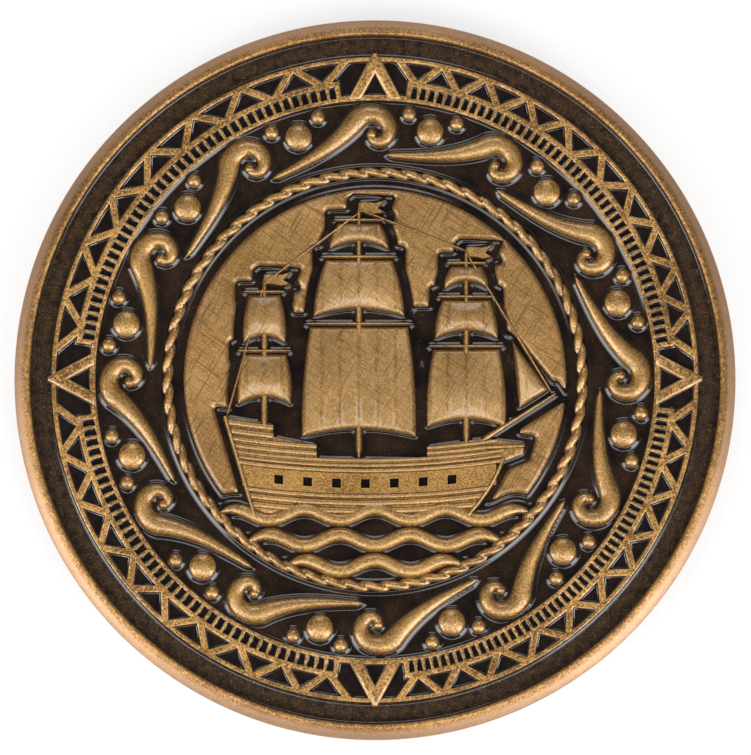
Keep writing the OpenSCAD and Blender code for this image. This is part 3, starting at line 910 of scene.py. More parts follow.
@dataclass
class Border(Piece):
    """Raised lattice of ring lines, zigzag strokes and ladder rungs."""

    face: Face
    name: str
    # Numbers of ladder cells and of zigzags in each quarter, counted from the right pointer
    ladder_n: tuple[int, ...]
    zigzag_n: tuple[int, ...] = ()
    rung_w: float = 0.2
    zigzag_w: float = 0.44
    stroke_round: float = 0.09
    rung_round: float = 0.06
    # Height and width of the lacquer that climbs a cell's walls, and the steps in which it does, as shares
    climb: float = 0.1
    climb_steps: Pairs = ((0.35, 0.72), (0.65, 0.33))
    # How far the outer line stands over the channel
    over: float = 0.05
    # Ladder cells on each side of a compass pointer that are left clear for it
    clear_n: int = 4
    # Where a triangle's base has corners, as shares of its length
    base_shares: tuple[float, ...] = (0.0, 0.3, 0.5, 0.7, 1.0)
    # Width of the seam that joins the ladder's cells to the zigzag's
    seam_w: float = 0.02
    # How far a ring's straight edges may lie off its circle
    ring_slack: float = 0.02

    def __post_init__(self) -> None:
        """Works out the radii at which the flat cells meet, and starts empty lists of cells."""
        size = self.layout
        half = self.zigzag_w / 2
        band = size.zigzag_h + size.line_w if self.zigzag_n else 0.0
        self.inner_r = size.border_out_r - 2 * size.line_w - size.ladder_h - band
        self.in_r = self.inner_r + size.line_w - self.rung_w / 2
        self.rung_r = self.inner_r + size.line_w + size.ladder_h + self.rung_w / 2 - self.seam_w / 2
        self.mid_r = self.rung_r + self.seam_w
        self.out_r = size.border_out_r - size.line_w + half if self.zigzag_n else self.rung_r
        self.casting = self.cast(self.name, self.face)
        self.spots: dict[tuple[float, int], BMVert] = {}
        self.large: list[BMFace] = []
        self.small: list[BMFace] = []
        self.spaces: list[list[BMFace]] = [[] for _ in range(size.pointer_n)]

    def cell(self, *corners: Pair) -> BMFace:
        """Lays one flat face.

        Args:
            *corners: Radius and angle of each corner, counter-clockwise.

        Returns:
            The face.
        """
        verts = []
        for radius, turn in corners:
            key = (radius, round(turn / math.tau * TURN_PARTS) % TURN_PARTS)
            if key not in self.spots:
                self.spots[key] = self.casting.bm.verts.new((*polar(radius, turn), 0.0))
            verts.append(self.spots[key])
        return self.casting.bm.faces.new(verts)

    def lay_ladder(self, q: int) -> list[float]:
        """Lays the ladder's cells of one quarter, each reaching to the middle of the rungs beside it.

        Args:
            q: The quarter.

        Returns:
            The rungs' angles.
        """
        count = self.ladder_n[q]
        turns = [math.tau / self.layout.pointer_n * (q + share) for share in shares(count)]
        for k, (low, high) in enumerate(zip(turns, turns[1:])):
            made = self.cell((self.in_r, low), (self.rung_r, low), (self.rung_r, high), (self.in_r, high))
            inside = not self.zigzag_n or self.clear_n <= k < count - self.clear_n
            self.sort_cell(made, self.small, q, inside, k / count)
        return turns

    def lay_zigzag(self, q: int, clear: Pair) -> list[float]:
        """Lays the triangles of one quarter, each reaching to the middle of the strokes beside it.

        Args:
            q: The quarter.
            clear: The angles up to which and from which the quarter is left clear for the pointers.

        Returns:
            The angles of the corners along the line between the zigzag and the ladder.
        """
        count = self.zigzag_n[q]
        quarter = math.tau / self.layout.pointer_n
        feet = [quarter * (q + share) for share in shares(count)]
        tops = [(low + high) / 2 for low, high in zip(feet, feet[1:])]
        for k, (low, high) in enumerate(zip([feet[0]] + tops, tops + [feet[-1]])):
            base = [(self.out_r, blend(low, high, share)) for share in self.base_shares]
            made = self.cell((self.mid_r, feet[k]), *base)
            self.sort_cell(made, self.large, q, 0 < k < count, k / count)
        corners = []
        for k, (low, high) in enumerate(zip(feet, feet[1:])):
            turns = [blend(low, high, share) for share in self.base_shares]
            inside = 0 < k < count - 1
            if not inside:
                turns = [low, clear[round(k / count)], high]
            made = self.cell((self.out_r, tops[k]), *((self.mid_r, turn) for turn in reversed(turns)))
            self.sort_cell(made, self.large, q, inside, k / count)
            corners += turns[:-1]
        return corners + feet[-1:]

    def join(self, q: int, rungs: Sequence[float], feet: Sequence[float], clear: Pair) -> None:
        """Closes the line between the zigzag and the ladder, whose corners lie at different angles.

        Args:
            q: The quarter.
            rungs: The angles of the ladder's corners.
            feet: The angles of the zigzag's corners.
            clear: The angles up to which and from which the quarter is left clear for the pointers.
        """
        i, j = 0, 0
        while i < len(feet) - 1 or j < len(rungs) - 1:
            at_foot, at_rung = i == len(feet) - 1, j == len(rungs) - 1
            step_out = not at_foot and (at_rung or feet[i + 1] < rungs[j + 1] + SAME_TURN)
            step_in = not at_rung and (at_foot or rungs[j + 1] < feet[i + 1] + SAME_TURN)
            outer = [(self.mid_r, turn) for turn in feet[i : i + 1 + step_out]]
            inner = [(self.rung_r, turn) for turn in rungs[j : j + 1 + step_in]]
            made = self.cell(*outer, *inner[::-1])
            i, j = i + step_out, j + step_in
            last, first = max(feet[i], rungs[j]), min(outer[0][1], inner[0][1])
            inside = last > clear[0] + SAME_TURN and first < clear[1] - SAME_TURN
            self.sort_cell(made, [], q, inside, (rungs[j] - rungs[0]) / (rungs[-1] - rungs[0]))

    def sort_cell(self, cell: BMFace, cells: list[BMFace], q: int, inside: bool, share: float) -> None:
        """Puts a flat face with its like, or with the space of the pointer that it makes way for.

        Args:
            cell: The face.
            cells: The faces that are like it.
            q: Its quarter.
            inside: Whether it stays clear of both pointers.
            share: How far along the quarter it lies, from 0 to 1.
        """
        if inside:
            cells.append(cell)
        else:
            self.spaces[(q + round(share)) % self.layout.pointer_n].append(cell)

    def build(self) -> None:
        """Casts the lattice and dresses it."""
        size = self.layout
        bm = self.casting.bm
        for q in range(size.pointer_n):
            rungs = self.lay_ladder(q)
            if self.zigzag_n:
                clear = (rungs[self.clear_n], rungs[-1 - self.clear_n])
                self.join(q, rungs, self.lay_zigzag(q, clear), clear)
        large, small = self.large, self.small
        for space in filter(None, self.spaces):
            large += bmesh.ops.dissolve_faces(bm, faces=space)["region"]
        bmesh.ops.inset_individual(bm, faces=large, thickness=self.zigzag_w / 2, use_even_offset=True)
        bmesh.ops.inset_individual(bm, faces=small, thickness=self.rung_w / 2, use_even_offset=True)
        strokes = [edge for cell in large for edge in cell.edges]
        rungs = [edge for cell in small for edge in cell.edges]
        # The ring lines' outer and inner edges, then the walls that carry them down into the plate
        rings = ((self.out_r, size.border_out_r + self.over, strokes), (self.in_r, self.inner_r, rungs))
        for reach, edge_r, crests in rings:
            rim = [
                edge
                for edge in bm.edges
                if edge.is_boundary and abs(edge.verts[0].co.to_2d().length - reach) < self.ring_slack
            ]
            rim = self.draw_out(rim, edge_r / reach, 0.0)
            self.draw_out(rim, 1.0, -size.border_h - size.root_t)
            crests += rim
        bmesh.ops.bridge_loops(bm, edges=[edge for edge in bm.edges if edge.is_boundary])
        self.sink_cells(large, self.climb)
        self.sink_cells(small, self.climb / 2)
        self.casting.round_off(strokes, self.stroke_round, held=False)
        self.casting.round_off(rungs, self.rung_round, held=False)
        bmesh.ops.scale(bm, vec=(1.0, 1.0, self.face.value), verts=bm.verts[:])
        bmesh.ops.translate(bm, verts=bm.verts[:], vec=(0.0, 0.0, size.level(self.face, size.border_h)))
        self.casting.shade_by_height(size.lacquer_t, size.border_h)
        self.casting.finish()

    def sink_cells(self, cells: Sequence[BMFace], climb: float) -> None:
        """Sinks cells to the field, with lacquer climbing their walls, while the lattice's top is at 0.

        Args:
            cells: The cells' faces.
            climb: Height and width of the lacquer that climbs the walls.
        """
        if not cells:
            return
        bm = self.casting.bm
        drop = self.layout.border_h - self.layout.lacquer_t - climb
        sunk = bmesh.ops.extrude_discrete_faces(bm, faces=cells)["faces"]
        bmesh.ops.translate(bm, verts=list({v for cell in sunk for v in cell.verts}), vec=(0.0, 0.0, -drop))
        for share, lower in self.climb_steps:
            bmesh.ops.inset_individual(
                bm, faces=sunk, thickness=climb * share, depth=-climb * lower, use_even_offset=True
            )

    def draw_out(self, edges: Sequence[BMEdge], grow: float, lift: float) -> list[BMEdge]:
        """Extrudes a ring of edges.

        Args:
            edges: The ring.
            grow: How much the new ring is scaled about the axis.
            lift: How far the new ring is moved up.

        Returns:
            The new ring's edges.
        """
        bm = self.casting.bm
        made = bmesh.ops.extrude_edge_only(bm, edges=edges)["geom"]
        bmesh.ops.scale(bm, vec=(grow, grow, 1.0), verts=verts_of(made))
        bmesh.ops.translate(bm, vec=(0.0, 0.0, lift), verts=verts_of(made))
        return edges_of(made)


@dataclass
class Pointers(Piece):
    """Four compass pointers in the border, each of two flat strokes that meet in a blunt tip."""

    width: float = 3.5
    stroke_w: float = 0.78
    # How far the strokes' outer edges would meet beyond the border, and the width of the tip there
    over: float = 0.6
    tip_w: float = 0.3
    rise: float = 0.5
    edge_round: float = 0.22

    def outline(self) -> list[Pair]:
        """Outline of a pointer.

        Returns:
            How far out from its base and how far across each corner lies.
        """
        length = self.layout.border_out_r + self.over - self.layout.border_in_r
        half = self.width / 2
        slant = math.atan2(half, length)
        notch = length - self.stroke_w / math.sin(slant)
        inner_half = half - self.stroke_w / math.cos(slant)
        tip = length * (1 - self.tip_w / self.width)
        side = [(0.0, inner_half), (0.0, half), (tip, self.tip_w / 2)]
        return [(notch, 0.0)] + side + [(out, -across) for out, across in reversed(side)]

    def build(self) -> None:
        """Casts the pointers and dresses them."""
        size = self.layout
        casting = self.cast("compass_pointers")
        crests = []
        for k in range(size.pointer_n):
            ahead = polar(1.0, math.tau * k / size.pointer_n)
            aside = Vector((-ahead.y, ahead.x))
            spots = [(size.border_in_r + out) * ahead + across * aside for out, across in self.outline()]
            crests += casting.plate(spots, -size.root_t, self.rise)
        casting.round_off(crests, self.edge_round)
        casting.shade_by_height(size.lacquer_t, self.rise)
        casting.finish()


@dataclass
class WaveRing(Piece):
    """Ring of running waves, each a tail that sweeps up into a curl, with drops of spray over the tail."""

    count: int = 12
    rise: float = 0.55
    curl_r: float = 1.4
    width: float = 1.4
    tail_w: float = 0.4
    end_w: float = 0.55
    eye_r: float = 0.36
    eye_off: float = 0.22
    # From the tail's tip to the middle of the curl
    tail_l: float = 7.3
    curl_start: float = math.radians(140)
    curl_turn: float = math.radians(300)
    tail_share: float = 0.58
    # How much of its length a wave's rounded tip takes
    tip_share: float = 0.03
    # A wave's height where it is thinnest, as a share, and how much faster than the width it grows
    thin_rise: float = 0.6
    rise_gain: float = 1.4
    eye_rise: float = 0.95
    squareness: float = 2.2
    steps: int = 96
    drop_rise: float = 0.45
    # Each drop: how far along the ring, how far out from the ring's inner edge, and its radius
    drops: tuple[Triple, ...] = ((-4.7, 2.55, 0.9), (-3.3, 3.45, 0.48), (-6.1, 3.4, 0.48))

    def flat_path(self, share: float) -> Vector:
        """A wave's path laid out flat.

        Args:
            share: How far along the wave, from 0 to 1.

        Returns:
            How far along the ring, and how far out from the ring's inner edge.
        """
        tail_v = self.width / 2
        t = max(0.0, (share - self.tail_share) / (1 - self.tail_share))
        angle = self.curl_start - self.curl_turn * t
        reach = blend(self.curl_r, self.eye_off, t)
        curl = Vector((reach * math.cos(angle), self.layout.wave_band_w / 2 + reach * math.sin(angle)))
        if share >= self.tail_share:
            return curl
        t = share / self.tail_share
        start = Vector((-self.tail_l, tail_v))
        turn = Vector((curl.x + (curl.y - tail_v) * math.tan(self.curl_start), tail_v))
        return start.lerp(turn, t).lerp(turn.lerp(curl, t), t)

    def bent(self, along: float, out: float, turn: float) -> Vector:
        """Bends a point, so far along the ring and out from its inner edge, round the coin at an angle."""
        mid_r = (self.layout.border_in_r + self.layout.rope_out_r) / 2
        return polar(self.layout.rope_out_r + out, turn - along / mid_r)

    def stroke(self, share: float, turn: float) -> Stroke:
        """One station of a wave.

        Args:
            share: How far along the wave, from 0 to 1.
            turn: The wave's angle round the coin.

        Returns:
            The station.
        """
        if share < self.tail_share:
            width = blend(self.tail_w, self.width, share / self.tail_share)
        else:
            width = blend(self.width, self.end_w, (share - self.tail_share) / (1 - self.tail_share))
        tip = math.sqrt(clamp(share / self.tip_share))
        rise = self.rise * blend(self.thin_rise, 1.0, clamp(self.rise_gain * width / self.width))
        return Stroke(self.bent(*self.flat_path(share), turn), width / 2 * tip, rise)

    def outline(self, turn: float, points: int = 64, reach: float = 0.01) -> Outline:
        """A wave's outline seen from above.

        Args:
            turn: The wave's angle round the coin.
            points: Number of stations along it.
            reach: How far to both sides of a station its direction is taken from, as a share.

        Returns:
            The outline's corners.
        """
        left, right = [], []
        for share in shares(points):
            stroke = self.stroke(share, turn)
            ahead, behind = min(share + reach, 1.0), max(share - reach, 0.0)
            along = self.stroke(ahead, turn).at - self.stroke(behind, turn).at
            across = Vector((-along.y, along.x)).normalized() * max(stroke.half, WELD)
            left.append(stroke.at + across)
            right.append(stroke.at - across)
        return np.array(left + right[::-1])

    def distance(self, spots: np.ndarray) -> np.ndarray:
        """Distance of spots from the waves, their drops and both edges of the ring.

        Args:
            spots: The spots, one in each row.

        Returns:
            The distances, negative on the relief.
        """
        pitch = math.tau / self.count
        radius = np.hypot(spots[:, 0], spots[:, 1])
        turn = (np.arctan2(spots[:, 1], spots[:, 0]) + pitch / 2) % pitch - pitch / 2
        folded = np.column_stack((radius * np.cos(turn), radius * np.sin(turn)))
        near = np.minimum(radius - self.layout.rope_out_r, self.layout.border_in_r - radius)
        for k in (-1, 0, 1):
            near = np.minimum(near, signed_distance(folded, self.outline(k * pitch)))
            buttons = [(self.bent(along, out, k * pitch), size) for along, out, size in self.drops]
            buttons.append((self.bent(*self.flat_path(1.0), k * pitch), self.eye_r))
            for middle, size in buttons:
                near = np.minimum(near, np.hypot(folded[:, 0] - middle.x, folded[:, 1] - middle.y) - size)
        return near

    def build(self) -> None:
        """Casts the waves and their spray and dresses them."""
        waves = self.cast("running_waves")
        spray = self.cast("wave_spray")
        for k in range(self.count):
            turn = math.tau * k / self.count
            waves.sweep(lambda share: self.stroke(share, turn), Section(self.squareness), self.steps)
            waves.button(self.bent(*self.flat_path(1.0), turn), self.eye_r, self.rise * self.eye_rise)
            for along, out, size in self.drops:
                spray.button(self.bent(along, out, turn), size, self.drop_rise)
        waves.finish()
        spray.finish()


@dataclass
class RopeRing(Piece):
    """Ring of laid rope round the picture."""

    strands: int = 64
    steps_per_strand: int = 12
    section_steps: int = 20
    # How deep the grooves between the strands are, as a share, and how narrow
    groove: float = 0.4
    groove_power: float = 1.3
    # Relief at the bottom of a groove, and how fast it rises to the strand's back
    groove_relief: float = 0.35
    relief_power: float = 0.7

    def build(self) -> None:
        """Casts the rope and dresses it."""
        size = self.layout
        casting = self.cast("rope_ring")

        def place(u: float, v: float) -> Spot:
            """Lays a point of the rope's skin.

            Args:
                u: Share of the way along it.
                v: Share of the way round it.

            Returns:
                The point's place and relief.
            """
            turn = math.tau * v
            lay = abs(math.sin(math.pi * (self.strands * u + turn / math.pi)))
            radius = size.rope_w / 2 * (1 - self.groove * (1 - lay) ** self.groove_power)
            rise = radius * math.sin(turn)
            shade = blend(self.groove_relief, 1.0, lay**self.relief_power)
            spot = polar(size.rope_mid_r + radius * math.cos(turn), math.tau * u)
            return casting.at(*spot, rise), clamp(rise / (size.rope_w / 2)) * shade

        casting.sheet(self.strands * self.steps_per_strand, self.section_steps, place)
        casting.finish()


@dataclass(frozen=True)
class Mast:
    """A mast: its place, its deck and its top."""

    x: float
    deck: float
    top: float


@dataclass(frozen=True)
class Sail:
    """A square sail: its mast's place, its head and foot, and half its width at both."""

    x: float
    head: float
    foot: float
    head_half: float
    foot_half: float


MAIN = Mast(-1.0, -4.9, 10.9)
FORE = Mast(5.7, -4.0, 8.1)
MIZZEN = Mast(-6.9, -3.0, 6.4)


@dataclass(frozen=True)
class ShipPlan:
    """Where the parts of the picture lie, in millimetres from the middle of the coin."""

    layout: CoinLayout
    masts: tuple[Mast, ...] = (MAIN, FORE, MIZZEN)
    sails: tuple[Sail, ...] = (
        Sail(MAIN.x, 3.3, -3.7, 3.1, 3.6),
        Sail(MAIN.x, 7.5, 3.8, 2.1, 2.9),
        Sail(MAIN.x, 9.8, 8.0, 1.3, 1.9),
        Sail(FORE.x, 1.9, -3.1, 2.1, 2.5),
        Sail(FORE.x, 5.0, 2.4, 1.5, 2.0),
        Sail(FORE.x, 7.1, 5.5, 0.95, 1.4),
        Sail(MIZZEN.x, 1.6, -1.7, 1.4, 1.7),
        Sail(MIZZEN.x, 5.3, 2.1, 1.0, 1.35),
    )
    sail_bulge: float = 0.18
    sail_arch: float = 0.5
    jib: Pairs = ((8.5, 2.6), (10.9, -0.7), (8.95, -1.95))
    bowsprit: Pairs = ((6.6, -3.9), (11.3, -0.9))
    mast_w: float = 0.46
    yard_w: float = 0.3
    yard_over: float = 0.3
    flag_l: float = 1.8
    flag_notch_l: float = 1.25
    flag_w: float = 0.75
    flag_flare: float = 0.1
    flag_up: float = 0.2
    hull: Pairs = (
        (-7.5, -8.5), (-9.4, -2.3), (-6.4, -2.8), (-6.3, -3.6), (-3.7, -4.1), (-3.6, -4.9), (3.2, -5.0),
        (3.3, -4.2), (6.8, -3.7), (9.4, -4.0), (9.2, -4.7), (7.9, -5.2), (7.1, -6.8), (5.8, -8.5),
    )
    # Places that the sky plate leaves free: over the deck, and where the sails come close to each other
    free_spaces: tuple[tuple[float, float, float, float], ...] = (
        (-8.6, -5.2, 8.9, -1.2),
        (-5.5, 1.5, -4.3, 4.0),
        (2.4, 2.4, 3.5, 4.4),
    )
    sea_n: int = 3
    sea_top_y: float = -8.45
    sea_pitch: float = 1.6
    sea_w: float = 0.95
    sea_wave_l: float = 4.4
    sea_wave_h: float = 0.34
    sky_gap: float = 0.5
    groove_w: float = 0.42
    curve_steps: int = 10

    @staticmethod
    def box(left: float, low: float, right: float, high: float) -> Outline:
        """A rectangle's outline."""
        return np.array(((left, low), (left, high), (right, high), (right, low)))

    def sail_side(self, sail: Sail, down: float) -> float:
        """Half a sail's width so far down from its head, as a share of its drop."""
        return blend(sail.head_half, sail.foot_half, down) + self.sail_bulge * 4 * down * (1 - down)

    def sail_outline(self, sail: Sail) -> Outline:
        """A square sail's outline.

        Args:
            sail: The sail.

        Returns:
            The outline's corners.
        """
        steps = self.curve_steps
        side = [(self.sail_side(sail, down), blend(sail.head, sail.foot, down)) for down in shares(steps)]
        foot = []
        for i in range(1, 2 * steps):
            across = 1 - i / steps
            arch = self.sail_arch * (1 - across * across)
            foot.append((sail.x + across * sail.foot_half, sail.foot + arch))
        right = [(sail.x + half, y) for half, y in side]
        left = [(sail.x - half, y) for half, y in reversed(side)]
        return np.array(right + foot + left)

    def spar_outlines(self, margin: float) -> list[Outline]:
        """Outlines of masts, yards, flags and bowsprit, each grown by a margin.

        Args:
            margin: How far they are grown.

        Returns:
            The outlines.
        """
        made = []
        for mast in self.masts:
            half = self.mast_w / 2 + margin
            made.append(self.box(mast.x - half, mast.deck, mast.x + half, mast.top + margin))
            flag = (
                (0.0, 0.0),
                (self.flag_l, self.flag_flare),
                (self.flag_notch_l, -self.flag_w / 2),
                (self.flag_l, -self.flag_w - self.flag_flare),
                (0.0, -self.flag_w),
            )
            made.append(grown(np.array(flag) + (mast.x, mast.top + self.flag_up), margin))
        for sail in self.sails:
            half = sail.head_half + self.yard_over + margin
            top = sail.head + self.yard_w + margin
            made.append(self.box(sail.x - half, sail.head - margin, sail.x + half, top))
        start, end = np.array(self.bowsprit)
        along = (end - start) / np.linalg.norm(end - start)
        across = np.array((-along[1], along[0])) * (self.yard_w / 2 + margin)
        tip = end + along * margin
        made.append(np.array((start + across, tip + across, tip - across, start - across)))
        return made

    def sea_y(self, k: int, x: float) -> float:
        """Height of the middle of a bar of sea at a place across the picture."""
        wave = math.cos(math.tau * (x / self.sea_wave_l + k / 2))
        return self.sea_top_y - k * self.sea_pitch + self.sea_wave_h * wave

    def sea_edge(self, k: int, off: float) -> list[Pair]:
        """A line along a bar of sea, so far above its middle, from left to right."""
        reach = self.layout.rope_out_r
        return [(float(x), self.sea_y(k, x) + off) for x in np.linspace(-reach, reach, 12 * self.curve_steps)]

    def relief_outlines(self) -> list[Outline]:
        """Outlines of all that stands out of the field inside the rope ring, apart from the sky.

        Returns:
            The outlines.
        """
        made = [np.array(self.hull), np.array(self.jib)] + self.spar_outlines(0.0)
        made += [self.sail_outline(sail) for sail in self.sails]
        for k in range(self.sea_n):
            made.append(np.array(self.sea_edge(k, self.sea_w / 2) + self.sea_edge(k, -self.sea_w / 2)[::-1]))
        return made

    def clear_outlines(self) -> list[Outline]:
        """Outlines of all that the sky plate leaves free.

        Returns:
            The outlines.
        """
        reach = self.layout.rope_out_r
        made = [grown(np.array(shape), self.groove_w) for shape in (self.hull, self.jib)]
        made += self.spar_outlines(self.groove_w)
        made += [grown(self.sail_outline(sail), self.groove_w) for sail in self.sails]
        made += [self.box(*space) for space in self.free_spaces]
        sea = self.sea_edge(0, self.sea_w / 2 + self.groove_w)
        made.append(np.array(sea + [(reach, -reach), (-reach, -reach)]))
        return made

    def sky_distance(self, spots: np.ndarray) -> np.ndarray:
        """Distance of spots from the sky plate, negative on it."""
        outside = np.hypot(spots[:, 0], spots[:, 1]) - (self.layout.rope_in_r - self.sky_gap)
        return np.maximum(outside, -nearest_of(spots, self.clear_outlines()))

    def relief_distance(self, spots: np.ndarray) -> np.ndarray:
        """Distance of spots from the nearest relief inside the rope ring, negative on it."""
        rope = self.layout.rope_in_r - np.hypot(spots[:, 0], spots[:, 1])
        return np.minimum.reduce((nearest_of(spots, self.relief_outlines()), self.sky_distance(spots), rope))


@dataclass
class Sky(Piece):
    """Low brushed plate behind the ship, with rounded shoulders."""

    plan: ShipPlan
    rise: float = 0.3
    crown: float = 0.05
    shoulder: float = 0.38
    cells: int = 400
    # How often the outline's corners are softened
    rounding: int = 10
    # How far round the plate its grid reaches, and how far outside the outline the plate is cut off
    spare: float = 0.1
    cut_off: float = 0.05
    # Relief of the plate's top, and how fast its shoulder comes out of the lacquer
    top_relief: float = 0.9
    relief_power: float = 0.7

    def depths(self, reach: float) -> np.ndarray:
        """How deep inside the plate's outline each point of its grid lies, with rounded corners.

        Args:
            reach: Half the grid's side.

        Returns:
            The depths, negative outside the plate.
        """
        line = np.linspace(-reach, reach, self.cells + 1)
        spots = np.stack(np.meshgrid(line, line, indexing="ij"), axis=-1).reshape(-1, 2)
        deep = -self.plan.sky_distance(spots).reshape(len(line), len(line))
        return softened(deep, self.rounding)

    def build(self) -> None:
        """Casts the plate and dresses it."""
        reach = self.layout.rope_in_r - self.plan.sky_gap + self.spare
        casting = self.cast("sky_plate")
        deep = self.depths(reach)

        def place(u: float, v: float) -> Spot:
            """Lays a point of the plate's grid.

            Args:
                u: Share of its width.
                v: Share of its height.

            Returns:
                The point's place and relief.
            """
            x, y = blend(-reach, reach, u), blend(-reach, reach, v)
            depth = float(deep[round(u * self.cells), round(v * self.cells)])
            if depth < -self.cut_off:
                return casting.at(x, y, -self.layout.root_t), 0.0
            share = clamp(depth / self.shoulder)
            crest = self.rise + self.crown * (1 - (x * x + y * y) / reach**2)
            relief = self.top_relief * share**self.relief_power
            return casting.at(x, y, crest * math.sin(math.pi / 2 * share)), relief

        verts = casting.sheet(self.cells, self.cells, place)
        floor = casting.at(0.0, 0.0, 0.0).z - WELD
        outside = [vert for vert in verts if vert.co.z < floor]
        bmesh.ops.delete(casting.bm, geom=outside, context="VERTS")
        casting.close_below()
        casting.finish()


@dataclass
class Canvas(Piece):
    """The ship's square sails and its jib, filled by the wind."""

    plan: ShipPlan
    rise: float = 0.7
    edge_rise: float = 0.42
    roll: float = 0.34
    cloth_w: float = 1.15
    seam_w: float = 0.07
    seam_depth: float = 0.05
    # How much darker a seam is, and the share of the roll over which a sail comes out of the lacquer
    seam_shade: float = 0.55
    bare_share: float = 0.7
    # How low a sail's belly hangs and how full it is
    belly_low: float = 1.2
    belly_full: float = 0.8
    mesh_mm: float = 0.085

    def seam(self, across: float) -> float:
        """How much of a seam is at a place across a sail, from 0 to 1."""
        off = (across / self.cloth_w + 0.5) % 1.0 - 0.5
        return math.exp(-((off * self.cloth_w / self.seam_w) ** 2))

    def rolled(self, inset: float) -> float:
        """How far a sail has risen so far in from its edge, from 0 to 1."""
        left = 1 - clamp(inset / self.roll)
        return math.sqrt(1 - left * left)

    def set_sail(self, casting: Casting, sail: Sail) -> None:
        """Adds one square sail.

        Args:
            casting: The mesh to add it to.
            sail: The sail.
        """
        drop = sail.head - sail.foot

        def place(u: float, v: float) -> Spot:
            """Lays a point of the sail, with its points closer together towards its edges.

            Args:
                u: Share of its width.
                v: Share of its height.

            Returns:
                The point's place and relief.
            """
            across = math.sin(math.pi / 2 * (2 * u - 1))
            down = 0.5 - 0.5 * math.sin(math.pi / 2 * (2 * v - 1))
            half = self.plan.sail_side(sail, down)
            foot = sail.foot + self.plan.sail_arch * (1 - across * across)
            y = blend(sail.head, foot, down)
            inset = min((1 - abs(across)) * half, down * drop, (1 - down) * drop)
            belly = (1 - across * across) * math.sin(math.pi * down**self.belly_low) ** self.belly_full
            seam = self.seam(across * half) * clamp(inset / self.roll)
            rise = blend(self.edge_rise, self.rise, belly) * self.rolled(inset) - self.seam_depth * seam
            relief = clamp(inset / (self.bare_share * self.roll)) * (1 - self.seam_shade * seam)
            return casting.at(sail.x + across * half, y, rise), relief

        casting.sheet(int(2 * sail.foot_half / self.mesh_mm), int(drop / self.mesh_mm), place)

    def set_jib(self, casting: Casting) -> None:
        """Adds the jib, a three-cornered sail.

        Args:
            casting: The mesh to add it to.
        """
        peak, tack, clew = (Vector(corner) for corner in self.plan.jib)
        steps = int((peak - tack).length / self.mesh_mm)

        def place(u: float, v: float) -> Spot:
            """Lays a point of the jib.

            Args:
                u: Share of its width from the leech.
                v: Share of its drop.

            Returns:
                The point's place and relief.
            """
            spot = peak.lerp(clew.lerp(tack, u), v)
            width = (tack - clew).length * v
            inset = min(u * width, (1 - u) * width, (1 - v) * (peak - tack).length)
            belly = 4 * u * (1 - u) * math.sin(math.pi * v) ** self.belly_full
            rise = blend(self.edge_rise, self.rise, belly) * self.rolled(inset)
            return casting.at(*spot, rise), clamp(inset / (self.bare_share * self.roll))

        casting.sheet(steps, steps, place)

    def build(self) -> None:
        """Casts the sails and dresses them."""
        casting = self.cast("ship_sails")
        for sail in self.plan.sails:
            self.set_sail(casting, sail)
        self.set_jib(casting)
        bmesh.ops.remove_doubles(casting.bm, verts=casting.bm.verts[:], dist=WELD)
        casting.close_below()
        casting.finish()


